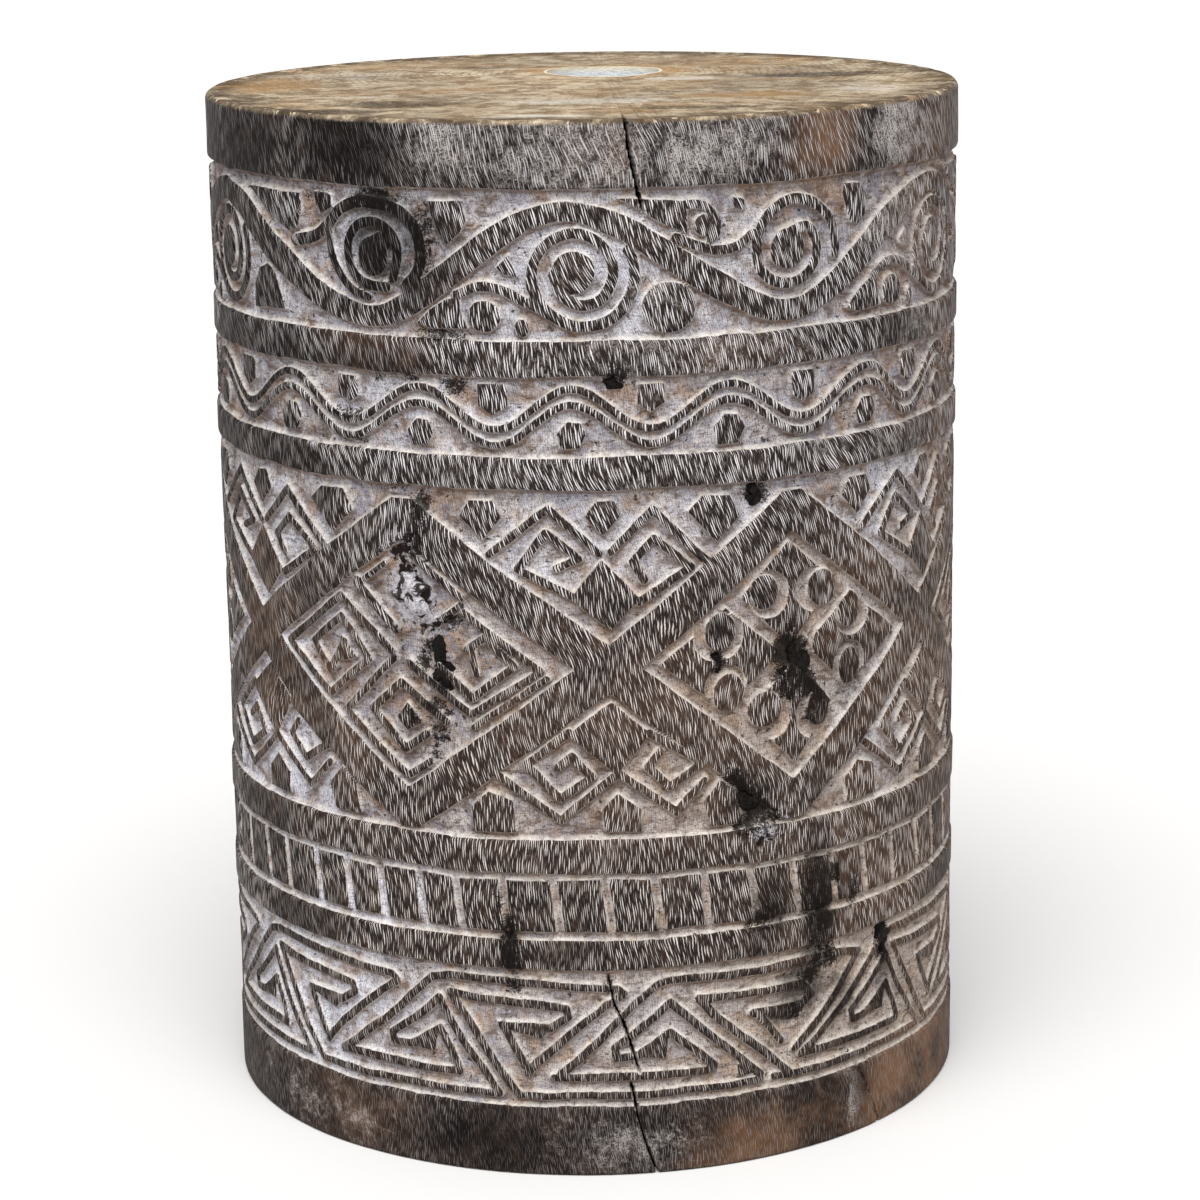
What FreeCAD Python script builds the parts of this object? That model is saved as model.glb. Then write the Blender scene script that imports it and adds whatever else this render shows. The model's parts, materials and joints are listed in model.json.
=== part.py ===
import FreeCAD, Part
import math
import os

import Sketcher

# A stool carved from one length of tree trunk: a drum with plain rings between sunk, carved bands,
# a bored pith, and knots and voids stopped with black pitch or lime.
# Millimetres, +Z up, origin on the drum's axis at the floor, front towards -Y.

doc = FreeCAD.newDocument("trunk_stool")
sheet = doc.addObject("Spreadsheet::Sheet", "sizes")

# Driving dimensions. Angles run in degrees from the front, positive towards +X.
driving = {
    "trunk_diameter": 320.0,
    "base_band": 29.5,
    "key_band": 59.5,
    "lower_ring": 12.0,
    "ladder_band": 28.5,
    "middle_ring": 14.0,
    "lattice_band": 144.0,
    "upper_ring": 12.5,
    "wave_band": 32.5,
    "neck_ring": 13.5,
    "scroll_band": 59.5,
    "seat_band": 26.5,
    "carve_depth": 3.5,
    "motif_drop": 0.8,
    "edge_groove": 2.5,
    "fine_ridge": 3.5,
    "fine_groove": 3.4,
    "seat_edge_radius": 2.5,
    "foot_edge_radius": 1.5,
    "pith_bore_diameter": 44.0,
    "pith_bore_side": 9.5,
    "pith_bore_back": 53.0,
    "pith_bore_chamfer": 3.0,
    "lattice_count": 6,
    "lattice_turn": 2.7,
    "lattice_bar": 18.0,
    "lattice_groove": 4.5,
    "lattice_peg": 16.0,
    "lattice_peg_height": 16.0,
    "lattice_peg_side": 50.7,
    "spandrel_field": 26.6,
    "spandrel_nest": 24.2,
    "disc_diameter": 11.0,
    "disc_hollow": 17.0,
    "outer_disc_side": 29.0,
    "outer_disc_rise": 12.0,
    "inner_disc_side": 13.0,
    "inner_disc_rise": 24.0,
    "ladder_count": 50,
    "ladder_slot": 3.6,
    "key_count": 10,
    "key_turn": 11.5,
    "key_groove": 7.0,
    "wave_count": 16,
    "wave_turn": 14.7,
    "wave_rise": 16.2,
    "wave_peg": 11.0,
    "wave_peg_height": 12.5,
    "scroll_count": 6,
    "scroll_turn": 43.2,
    "scroll_rise": 38.0,
    "scroll_vine": 12.5,
    "volute_diameter": 37.0,
    "volute_hollow": 29.5,
    "volute_eye": 20.0,
    "volute_offset": 8.0,
    "fill_seat": 6.0,
    "fill_proud": 0.2,
    "fill_clearance": 0.1,
    "fill_corner": 0.3,
}

# Outlines in each nest of lozenges or triangles: a ridge, a groove, and so on inwards.
nestLines = {"spandrel": 3, "panel": 5, "key": 5}

# Stopped knots and voids: the band that each lies in, its angle, its height above the foot of that
# band, its width round the drum and its height.
fills = {
    "pitch_fill_wave": ("wave_band", 3.6, 29.5, 9.0, 6.0),
    "pitch_fill_lattice_head": ("lattice_band", 24.7, 137.5, 9.0, 9.0),
    "pitch_fill_disc_panel": ("lattice_band", 31.2, 63.5, 16.0, 28.0),
    "pitch_fill_disc_edge": ("lattice_band", 18.6, 71.5, 5.0, 8.0),
    "pitch_fill_lattice_foot": ("lattice_band", 24.0, 12.5, 16.0, 14.0),
    "pitch_fill_key": ("key_band", 49.8, 52.5, 11.0, 17.0),
    "pitch_fill_lozenge_panel": ("lattice_band", 337.8, 69.5, 12.0, 24.0),
    "pitch_fill_ladder": ("lower_ring", 347.5, 7.0, 7.0, 20.0),
    "lime_fill_knot": ("lattice_band", 332.8, 98.5, 20.0, 16.0),
}
for fill, (band, angle, height, width, tall) in fills.items():
    driving[fill + "_angle"] = angle
    driving[fill + "_height"] = height
    driving[fill + "_width"] = width
    driving[fill + "_tall"] = tall

for row, (alias, value) in enumerate(driving.items(), start=1):
    sheet.set("A%d" % row, alias)
    sheet.set("B%d" % row, "%g" % value)
    sheet.setAlias("B%d" % row, alias)
doc.recompute()

# Bands from the floor up, and whether each one is carved.
bands = {
    "base_band": False,
    "key_band": True,
    "lower_ring": False,
    "ladder_band": True,
    "middle_ring": False,
    "lattice_band": True,
    "upper_ring": False,
    "wave_band": True,
    "neck_ring": False,
    "scroll_band": True,
    "seat_band": False,
}


def size(alias):
    return "sizes." + alias


def stack(names):
    return " + ".join(size(name) for name in names) or "0"


def foot(band):
    names = list(bands)
    return "(" + stack(names[:names.index(band)]) + ")"


def head(band):
    names = list(bands)
    return "(" + stack(names[:names.index(band) + 1]) + ")"


def middle(band):
    return "(%s + %s / 2)" % (foot(band), size(band))


trunkRadius = "sizes.trunk_diameter / 2"
motifRadius = "(sizes.trunk_diameter / 2 - sizes.motif_drop)"
floorRadius = "(sizes.trunk_diameter / 2 - sizes.carve_depth)"
joinRadius = "(sizes.trunk_diameter / 2 + sizes.carve_depth)"
trunkHeight = stack(bands)
beyondSurface = "(sizes.trunk_diameter / 2 + 2 * sizes.carve_depth)"
seatRadius = "(%s - sizes.fill_seat)" % floorRadius
fillLength = "%s - %s" % (beyondSurface, seatRadius)


def evaluate(expression):
    return float(sheet.evalExpression(expression))


def originFeature(body, role):
    return [feature for feature in body.Origin.OriginFeatures if feature.Role == role][0]


def newSketch(body, name, role):
    sketch = body.newObject("Sketcher::SketchObject", name)
    sketch.AttachmentSupport = [(originFeature(body, role), "")]
    sketch.MapMode = "FlatFace"
    return sketch


def facingSketch(body, name, turn, distance):
    # Upright sketch that faces out of the drum at an angle from the front, at a distance from the axis.
    sketch = newSketch(body, name, "XZ_Plane")
    across = "%s * sin((%s) * 1 deg)" % (distance, turn)
    out = "%s * cos((%s) * 1 deg)" % (distance, turn)
    aboutTrunk = FreeCAD.Rotation(FreeCAD.Vector(0, 1, 0), evaluate(turn))
    place = FreeCAD.Vector(evaluate(across), 0, evaluate(out))
    sketch.AttachmentOffset = FreeCAD.Placement(place, aboutTrunk)
    sketch.setExpression("AttachmentOffset.Rotation.Angle", "(%s) * 1 deg" % turn)
    sketch.setExpression("AttachmentOffset.Base.x", across)
    sketch.setExpression("AttachmentOffset.Base.z", out)
    return sketch


def motifSketch(body, name, turn, count):
    return facingSketch(body, name, turn, motifRoot(count))


def bindConstraint(sketch, kind, arguments, expression):
    index = sketch.addConstraint(Sketcher.Constraint(kind, *arguments, evaluate(expression)))
    sketch.setExpression("Constraints[%d]" % index, expression)


def pin(sketch, geometry, point, across, up):
    bindConstraint(sketch, "DistanceX", (-1, 1, geometry, point), across)
    bindConstraint(sketch, "DistanceY", (-1, 1, geometry, point), up)


def polygon(sketch, corners):
    points = [FreeCAD.Vector(evaluate(across), evaluate(up), 0) for across, up in corners]
    first = sketch.GeometryCount
    count = len(points)
    for i in range(count):
        sketch.addGeometry(Part.LineSegment(points[i], points[(i + 1) % count]))
    for i in range(count):
        following = first + (i + 1) % count
        sketch.addConstraint(Sketcher.Constraint("Coincident", first + i, 2, following, 1))
    for i, (across, up) in enumerate(corners):
        pin(sketch, first + i, 1, across, up)


def circle(sketch, across, up, diameter):
    centre = FreeCAD.Vector(evaluate(across), evaluate(up), 0)
    radius = evaluate(diameter) / 2
    index = sketch.addGeometry(Part.Circle(centre, FreeCAD.Vector(0, 0, 1), radius))
    pin(sketch, index, 3, across, up)
    bindConstraint(sketch, "Diameter", (index,), diameter)


def nestInsets(nest):
    # How far in each line of a nest lies: past a ridge, then past a groove, by turns.
    pair = "(sizes.fine_ridge + sizes.fine_groove)"
    return ["(%d * %s + %d * sizes.fine_ridge)" % (i // 2, pair, i % 2) for i in range(nestLines[nest])]


def peg(sketch, across, base, sign, wide, tall):
    # Block with a flat base and a point, that stands up or hangs down from its base line.
    left, right = "%s - %s / 2" % (across, wide), "%s + %s / 2" % (across, wide)
    shoulder = "%s %s (%s - %s / 2)" % (base, sign, tall, wide)
    point = "%s %s %s" % (base, sign, tall)
    polygon(sketch, [(left, base), (right, base), (right, shoulder), (across, point), (left, shoulder)])


def lozenge(sketch, across, up, wide, tall):
    polygon(sketch, [
        (across, "%s + %s" % (up, tall)),
        ("%s + %s" % (across, wide), up),
        (across, "%s - %s" % (up, tall)),
        ("%s - %s" % (across, wide), up),
    ])


def nestedLozenges(sketch, across, up, wide, tall, insets):
    # Lozenges one inside another: a ridge, the groove within it, and so on to the heart.
    inscribed = "(%s * %s / sqrt(%s ^ 2 + %s ^ 2))" % (wide, tall, wide, tall)
    for inset in insets:
        share = "(1 - %s / %s)" % (inset, inscribed)
        lozenge(sketch, across, up, "%s * %s" % (wide, share), "%s * %s" % (tall, share))


def nestedTriangles(sketch, base, sign, wide, tall, insets):
    # Triangles one inside another, that point up or down from a base line.
    inscribed = "(%s * %s / (%s + sqrt(%s ^ 2 + %s ^ 2)))" % (wide, tall, wide, wide, tall)
    for inset in insets:
        share = "(1 - %s / %s)" % (inset, inscribed)
        level = "%s %s %s" % (base, sign, inset)
        tip = "%s %s (%s + (%s - %s) * %s)" % (base, sign, inscribed, tall, inscribed, share)
        polygon(sketch, [("-%s * %s" % (wide, share), level), ("%s * %s" % (wide, share), level), ("0", tip)])


def motifRoot(count):
    # Distance from the axis that lies under the sunk floor across a whole repeat.
    return "(%s * cos(180 deg / %s) - 2 * sizes.carve_depth)" % (floorRadius, size(count))


def halfRepeat(count):
    # Half a repeat across a flat sketch, taken outside the drum so that neighbours run into each other.
    return "(%s * sin(180 deg / %s))" % (joinRadius, size(count))


def checkGrowth(feature, before, sign):
    # Faces stay split until the last cut, which keeps the many booleans quick.
    feature.Refine = False
    doc.recompute()
    change = feature.Shape.Volume - before
    if change * sign <= 0:
        raise RuntimeError("%s changes nothing" % feature.Label)


def polar(body, feature, name, repeats):
    pattern = body.newObject("PartDesign::PolarPattern", name)
    pattern.Originals = [feature]
    pattern.Axis = (originFeature(body, "Z_Axis"), [""])
    pattern.Angle = 360
    pattern.Occurrences = int(evaluate(repeats))
    pattern.setExpression("Occurrences", repeats)
    body.Tip = pattern
    return pattern


def raised(body, sketch, name, count, skip=1):
    # Motif that stands on the sunk floor, repeated round the drum at every place or every second one.
    before = body.Shape.Volume
    pad = body.newObject("PartDesign::Pad", name)
    pad.Profile = sketch
    tall = "%s - %s" % (beyondSurface, motifRoot(count))
    pad.Length = evaluate(tall)
    pad.setExpression("Length", tall)
    checkGrowth(pad, before, 1)
    before = pad.Shape.Volume
    pattern = polar(body, pad, name + "_round", "%s / %d" % (size(count), skip))
    checkGrowth(pattern, before, 1)
    return pattern


def turnedDown(body, band):
    # Takes the raised motifs of one band down to the level of their tops.
    before = body.Shape.Volume
    sketch = newSketch(body, band + "_level", "XZ_Plane")
    low = foot(band) + " + sizes.edge_groove / 2"
    high = head(band) + " - sizes.edge_groove / 2"
    outside = "2 * " + beyondSurface
    polygon(sketch, [(motifRadius, low), (outside, low), (outside, high), (motifRadius, high)])
    groove = body.newObject("PartDesign::Groove", band + "_turned")
    groove.Profile = sketch
    groove.ReferenceAxis = (sketch, ["V_Axis"])
    groove.Angle = 360
    checkGrowth(groove, before, -1)


def turnedDrum(body):
    # Half section of the drum: full radius at the rings, sunk floor at the carved bands.
    sketch = newSketch(body, "drum_section", "XZ_Plane")
    corners = [("0", "0")]
    for band, carved in bands.items():
        radius = floorRadius if carved else trunkRadius
        corners += [(radius, foot(band)), (radius, head(band))]
    corners.append(("0", trunkHeight))
    polygon(sketch, corners)
    turned = body.newObject("PartDesign::Revolution", "drum")
    turned.Profile = sketch
    turned.ReferenceAxis = (sketch, ["V_Axis"])
    turned.Angle = 360
    doc.recompute()


def latticeBand(body):
    # Crossing bars, the lozenges and pegs between them, and panels of lozenges and of discs by turns.
    low = foot("lattice_band") + " + sizes.edge_groove"
    high = head("lattice_band") + " - sizes.edge_groove"
    centre = middle("lattice_band")
    half = "sizes.lattice_bar / 2"
    rise = "(sizes.lattice_band / 2 - sizes.edge_groove - sizes.lattice_bar / 2)"
    edge = halfRepeat("lattice_count")
    inner = "(%s * %s / %s)" % (edge, half, rise)
    gapAcross = "(sizes.lattice_groove * %s / %s)" % (edge, rise)

    bars = motifSketch(body, "lattice_crossing", size("lattice_turn"), "lattice_count")
    highBack = high + " - sizes.lattice_bar"
    lowBack = low + " + sizes.lattice_bar"
    outline = [("0", "%s + %s" % (centre, half))]
    outline += [(edge, high), (edge, highBack), (inner, centre), (edge, lowBack), (edge, low)]
    outline.append(("0", "%s - %s" % (centre, half)))
    outline += [("-" + across, up) for across, up in outline[5:0:-1]]
    polygon(bars, outline)
    raised(body, bars, "lattice_bars", "lattice_count")
    latticeSpandrels(body, centre, rise, edge)

    reach = "(%s - sizes.lattice_bar / 2 - sizes.lattice_groove)" % rise
    wide = "(%s - %s - %s)" % (edge, inner, gapAcross)
    lozengePanels(body, centre, wide, reach)
    discPanels(body, centre, wide, reach)
    turnedDown(body, "lattice_band")


def latticeSpandrels(body, centre, rise, edge):
    # Over and under each crossing: a plain lozenge between two nests, and three pegs along the ring.
    start = "(sizes.lattice_bar / 2 + sizes.lattice_groove)"
    slope = "(%s / %s)" % (rise, edge)
    fieldTall = "(sizes.spandrel_field / 2)"
    nestTall = "(sizes.spandrel_nest / 2)"
    nestWide = "(%s / %s)" % (nestTall, slope)
    nestAcross = "((sizes.lattice_groove / 2 + %s) / %s)" % (fieldTall, slope)
    nestUp = "(%s + %s * %s + %s)" % (start, nestAcross, slope, nestTall)
    pegUp = "(%s + sizes.lattice_bar / 2)" % rise
    near = "(sizes.lattice_peg_side - sizes.lattice_peg / 2)"
    far = "(sizes.lattice_peg_side + sizes.lattice_peg / 2)"
    sketch = motifSketch(body, "lattice_spandrels", size("lattice_turn"), "lattice_count")
    for tip, inwards in (("+", "-"), ("-", "+")):
        fieldUp = "%s %s (%s + %s)" % (centre, tip, start, fieldTall)
        lozenge(sketch, "0", fieldUp, "%s / %s" % (fieldTall, slope), fieldTall)
        pegBase = "%s %s %s" % (centre, tip, pegUp)
        peg(sketch, "0", pegBase, inwards, size("lattice_peg"), size("lattice_peg_height"))
        shoulder = "%s %s (sizes.lattice_peg_height - sizes.lattice_peg / 2)" % (pegBase, inwards)
        for side in ("", "-"):
            nestLevel = "%s %s %s" % (centre, tip, nestUp)
            nestedLozenges(sketch, side + nestAcross, nestLevel, nestWide, nestTall, nestInsets("spandrel"))
            alongBar = ["%s %s (%s + %s * %s)" % (centre, tip, start, across, slope)
                        for across in (far, size("lattice_peg_side"))]
            polygon(sketch, [
                (side + near, pegBase),
                (side + far, pegBase),
                (side + far, alongBar[0]),
                (side + size("lattice_peg_side"), alongBar[1]),
                (side + near, shoulder),
            ])
    raised(body, sketch, "lattice_fillers", "lattice_count")


def panelTurn(halfRepeats):
    # Angle of a panel, counted in half repeats from a crossing at the front.
    return "sizes.lattice_turn + %d * 180 / sizes.lattice_count" % halfRepeats


def lozengePanels(body, centre, wide, reach):
    # Every second panel: four nests of lozenges.
    sketch = motifSketch(body, "lozenge_panel", panelTurn(3), "lattice_count")
    insets = ["(sizes.fine_groove / 2 + %s)" % inset for inset in nestInsets("panel")]
    half, tall = "(%s / 2)" % wide, "(%s / 2)" % reach
    for across in (half, "-" + half):
        nestedLozenges(sketch, across, centre, half, tall, insets)
    for tip in ("+", "-"):
        nestedLozenges(sketch, "0", "%s %s %s" % (centre, tip, tall), half, tall, insets)
    raised(body, sketch, "lozenge_panels", "lattice_count", skip=2)


def discPanels(body, centre, wide, reach):
    # The panels between those: a plain lozenge with eight discs, each in a round hollow.
    sketch = motifSketch(body, "disc_panel", panelTurn(1), "lattice_count")
    lozenge(sketch, "0", centre, wide, reach)
    for ring in ("outer_disc", "inner_disc"):
        for side in ("", "-"):
            for tip in ("+", "-"):
                across, up = side + size(ring + "_side"), "%s %s %s" % (centre, tip, size(ring + "_rise"))
                circle(sketch, across, up, size("disc_hollow"))
                circle(sketch, across, up, size("disc_diameter"))
    raised(body, sketch, "disc_panels", "lattice_count", skip=2)


def keyBand(body):
    # Nests of triangles that point up and down by turns.
    low = foot("key_band") + " + sizes.edge_groove"
    high = head("key_band") + " - sizes.edge_groove"
    wide = "(%s - sizes.key_groove / 2)" % halfRepeat("key_count")
    tall = "(sizes.key_band - 2 * sizes.edge_groove)"
    turns = ("sizes.key_turn", "sizes.key_turn + 180 / sizes.key_count")
    for name, turn, base, sign in zip(("up", "down"), turns, (low, high), "+-"):
        sketch = motifSketch(body, "key_%s" % name, turn, "key_count")
        nestedTriangles(sketch, base, sign, wide, tall, nestInsets("key"))
        raised(body, sketch, "key_triangles_%s" % name, "key_count")
    turnedDown(body, "key_band")


def serpentine(sketch, count, level, rise, width):
    # One full wave of a ridge: a trough, then a crest, each bounded by two arcs on one centre.
    quarter = "(%s / 2)" % halfRepeat(count)
    sagitta = "(%s / 2)" % rise
    radius = "((%s ^ 2 + %s ^ 2) / (2 * %s))" % (quarter, sagitta, sagitta)
    lift = "(%s - %s)" % (radius, sagitta)
    spread = math.atan2(evaluate(lift), evaluate(quarter))
    for crest in (False, True):
        across = quarter if crest else "-" + quarter
        up = "%s %s %s" % (level, "-" if crest else "+", lift)
        centre = FreeCAD.Vector(evaluate(across), evaluate(up), 0)
        sweep = (spread, math.pi - spread) if crest else (spread - math.pi, -spread)
        rims = []
        for rim in ("-", "+"):
            bend = "(%s %s %s / 2)" % (radius, rim, width)
            ring = Part.Circle(centre, FreeCAD.Vector(0, 0, 1), evaluate(bend))
            arc = sketch.addGeometry(Part.ArcOfCircle(ring, *sweep))
            pin(sketch, arc, 3, across, up)
            bindConstraint(sketch, "Radius", (arc,), bend)
            reach = "%s * %s / %s" % (bend, quarter, radius)
            right, left = (1, 2) if crest else (2, 1)
            bindConstraint(sketch, "DistanceX", (-1, 1, arc, right), "%s + %s" % (across, reach))
            bindConstraint(sketch, "DistanceX", (-1, 1, arc, left), "%s - %s" % (across, reach))
            rims.append(arc)
        # The outer end of each half wave, where the next repeat joins it.
        inner, outer = rims
        cap = sketch.addGeometry(Part.LineSegment(sketch.getPoint(inner, 1), sketch.getPoint(outer, 1)))
        sketch.addConstraint(Sketcher.Constraint("Coincident", cap, 1, inner, 1))
        sketch.addConstraint(Sketcher.Constraint("Coincident", cap, 2, outer, 1))


def waveBand(body):
    # Two ridges side by side, a peg over each trough and one under each crest.
    level = middle("wave_band")
    for name, side in (("upper", "+"), ("lower", "-")):
        ridge = motifSketch(body, "wave_ridge_%s" % name, size("wave_turn"), "wave_count")
        height = "(%s %s (sizes.fine_ridge + sizes.fine_groove) / 2)" % (level, side)
        serpentine(ridge, "wave_count", height, size("wave_rise"), size("fine_ridge"))
        raised(body, ridge, "wave_ridges_%s" % name, "wave_count")
    quarter = "(%s / 2)" % halfRepeat("wave_count")
    low = foot("wave_band") + " + sizes.edge_groove"
    high = head("wave_band") + " - sizes.edge_groove"
    pegs = motifSketch(body, "wave_peg_outlines", size("wave_turn"), "wave_count")
    peg(pegs, "-" + quarter, high, "-", size("wave_peg"), size("wave_peg_height"))
    peg(pegs, quarter, low, "+", size("wave_peg"), size("wave_peg_height"))
    raised(body, pegs, "wave_pegs", "wave_count")
    turnedDown(body, "wave_band")


def scrollBand(body):
    # Vine with a ringed volute in each of its bends.
    sketch = motifSketch(body, "scroll_vine", size("scroll_turn"), "scroll_count")
    level = middle("scroll_band")
    serpentine(sketch, "scroll_count", level, size("scroll_rise"), size("scroll_vine"))
    raised(body, sketch, "scroll_vines", "scroll_count")
    for name, side, sign in (("upper", "-", "+"), ("lower", "", "-")):
        volute = motifSketch(body, "volute_%s" % name, size("scroll_turn"), "scroll_count")
        across = "%s%s / 2" % (side, halfRepeat("scroll_count"))
        for ring in ("volute_diameter", "volute_hollow", "volute_eye"):
            circle(volute, across, "%s %s sizes.volute_offset" % (level, sign), size(ring))
        raised(body, volute, "volutes_%s" % name, "scroll_count")
    turnedDown(body, "scroll_band")


def ladderBand(body):
    # A plain raised belt between two grooves, cut into blocks by upright slots.
    before = body.Shape.Volume
    low = foot("ladder_band") + " + sizes.edge_groove"
    high = head("ladder_band") + " - sizes.edge_groove"
    section = newSketch(body, "ladder_section", "XZ_Plane")
    inside = floorRadius + " - sizes.carve_depth"
    polygon(section, [(inside, low), (motifRadius, low), (motifRadius, high), (inside, high)])
    belt = body.newObject("PartDesign::Revolution", "ladder_belt")
    belt.Profile = section
    belt.ReferenceAxis = (section, ["V_Axis"])
    belt.Angle = 360
    checkGrowth(belt, before, 1)

    before = belt.Shape.Volume
    slot = newSketch(body, "ladder_slot", "XY_Plane")
    slot.AttachmentOffset = FreeCAD.Placement(FreeCAD.Vector(0, 0, evaluate(low)), FreeCAD.Rotation())
    slot.setExpression("AttachmentOffset.Base.z", low)
    half = "sizes.ladder_slot / 2"
    near = "-" + floorRadius
    far = "-" + beyondSurface
    polygon(slot, [("-" + half, near), ("-" + half, far), (half, far), (half, near)])
    pocket = body.newObject("PartDesign::Pocket", "ladder_slots")
    pocket.Profile = slot
    pocket.Reversed = True
    tall = "sizes.ladder_band - 2 * sizes.edge_groove"
    pocket.Length = evaluate(tall)
    pocket.setExpression("Length", tall)
    checkGrowth(pocket, before, -1)
    before = pocket.Shape.Volume
    pattern = polar(body, pocket, "ladder_slots_round", size("ladder_count"))
    checkGrowth(pattern, before, -1)


def circleEdges(shape, radius, level):
    near = 1e-4
    names = []
    for i, edge in enumerate(shape.Edges, start=1):
        curve = edge.Curve
        if isinstance(curve, Part.Circle) and abs(curve.Radius - radius) < near:
            if abs(curve.Center.z - level) < near:
                names.append("Edge%d" % i)
    return names


def dressUp(body, kind, name, radius, level, amount):
    base = body.Tip
    feature = body.newObject("PartDesign::" + kind, name)
    feature.Base = (base, circleEdges(base.Shape, evaluate(radius), evaluate(level)))
    dimension = "Radius" if kind == "Fillet" else "Size"
    setattr(feature, dimension, evaluate(amount))
    feature.setExpression(dimension, amount)
    checkGrowth(feature, base.Shape.Volume, -1)


def pithBore(body):
    before = body.Shape.Volume
    sketch = newSketch(body, "pith_bore_outline", "XY_Plane")
    circle(sketch, size("pith_bore_side"), size("pith_bore_back"), size("pith_bore_diameter"))
    bore = body.newObject("PartDesign::Pocket", "pith_bore")
    bore.Profile = sketch
    bore.Type = "ThroughAll"
    bore.Reversed = True
    checkGrowth(bore, before, -1)


def fillOutline(body, fill, name, slack):
    # Eight-sided outline on a plane that faces out of the drum, at the seat of the fill.
    sketch = facingSketch(body, name, size(fill + "_angle"), seatRadius)
    level = "%s + %s" % (foot(fills[fill][0]), size(fill + "_height"))
    wide = "(%s / 2 + %s)" % (size(fill + "_width"), slack)
    tall = "(%s / 2 + %s)" % (size(fill + "_tall"), slack)
    corner = "%s * sizes.fill_corner" % size(fill + "_width")
    corners = []
    for side, rise in (("", "+"), ("-", "+"), ("-", "-"), ("", "-")):
        upright = ("%s%s" % (side, wide), "%s %s (%s - %s)" % (level, rise, tall, corner))
        flat = ("%s(%s - %s)" % (side, wide, corner), "%s %s %s" % (level, rise, tall))
        corners += [upright, flat] if (side == "") == (rise == "+") else [flat, upright]
    polygon(sketch, corners)
    return sketch


def fillBody(fill, name, slack):
    body = doc.addObject("PartDesign::Body", name)
    block = body.newObject("PartDesign::Pad", name + "_block")
    block.Profile = fillOutline(body, fill, name + "_outline", slack)
    block.Length = evaluate(fillLength)
    block.setExpression("Length", fillLength)
    doc.recompute()
    return body


def fillLump(fill):
    # The lump in its pocket, dressed off just proud of the drum.
    body = fillBody(fill, fill, "0")
    before = body.Shape.Volume
    section = newSketch(body, fill + "_skin", "XZ_Plane")
    outside = "2 * " + beyondSurface
    skin = trunkRadius + " + sizes.fill_proud"
    polygon(section, [(skin, "0"), (outside, "0"), (outside, trunkHeight), (skin, trunkHeight)])
    trim = body.newObject("PartDesign::Groove", fill + "_trim")
    trim.Profile = section
    trim.ReferenceAxis = (section, ["V_Axis"])
    trim.Angle = 360
    checkGrowth(trim, before, -1)
    return body


drum = doc.addObject("PartDesign::Body", "carved_drum")
turnedDrum(drum)
scrollBand(drum)
waveBand(drum)
latticeBand(drum)
keyBand(drum)
ladderBand(drum)
pithBore(drum)
boreRadius = "sizes.pith_bore_diameter / 2"
dressUp(drum, "Chamfer", "pith_bore_mouth", boreRadius, trunkHeight, size("pith_bore_chamfer"))
dressUp(drum, "Fillet", "seat_edge", trunkRadius, trunkHeight, size("seat_edge_radius"))
dressUp(drum, "Fillet", "foot_edge", trunkRadius, "0", size("foot_edge_radius"))

pockets = doc.addObject("Part::MultiFuse", "fill_pockets")
pockets.Shapes = [fillBody(fill, fill + "_pocket", size("fill_clearance")) for fill in fills]
trunk = doc.addObject("Part::Cut", "trunk")
trunk.Base = drum
trunk.Tool = pockets
nodes = [trunk] + [fillLump(fill) for fill in fills]
doc.recompute()

for item in doc.Objects:
    if "Invalid" in item.State or "Error" in item.State:
        raise RuntimeError("%s failed: %s" % (item.Label, item.State))
for node in nodes:
    if node.Shape.isNull() or not node.Shape.isValid() or len(node.Shape.Solids) != 1:
        raise RuntimeError("%s has no sound solid" % node.Label)

os.makedirs("parts", exist_ok=True)
for node in nodes:
    node.Shape.exportStep("parts/%s.step" % node.Label)
    print("%-28s %10.1f mm3" % (node.Label, node.Shape.Volume))
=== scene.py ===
import json
import math

import bpy
import numpy as np
from mathutils import Matrix, Vector


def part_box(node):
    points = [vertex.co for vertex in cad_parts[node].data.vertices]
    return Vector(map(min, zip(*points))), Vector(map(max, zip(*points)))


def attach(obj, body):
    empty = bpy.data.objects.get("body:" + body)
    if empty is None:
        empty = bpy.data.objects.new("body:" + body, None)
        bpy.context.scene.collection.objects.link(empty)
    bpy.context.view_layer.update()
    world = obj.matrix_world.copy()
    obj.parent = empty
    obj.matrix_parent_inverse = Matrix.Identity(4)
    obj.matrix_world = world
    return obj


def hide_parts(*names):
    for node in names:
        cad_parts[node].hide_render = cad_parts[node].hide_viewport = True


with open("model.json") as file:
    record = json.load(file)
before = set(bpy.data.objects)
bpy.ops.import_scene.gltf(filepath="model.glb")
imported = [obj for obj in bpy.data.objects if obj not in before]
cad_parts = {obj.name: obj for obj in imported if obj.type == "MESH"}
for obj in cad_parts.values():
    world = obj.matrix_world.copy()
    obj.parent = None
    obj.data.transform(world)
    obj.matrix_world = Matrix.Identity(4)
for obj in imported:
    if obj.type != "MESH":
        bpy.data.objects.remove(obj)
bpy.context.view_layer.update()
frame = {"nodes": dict(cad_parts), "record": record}        # the trunk and its nine stopped voids, as packed
print("frame loaded:", ", ".join(sorted(frame["nodes"])))

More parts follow.
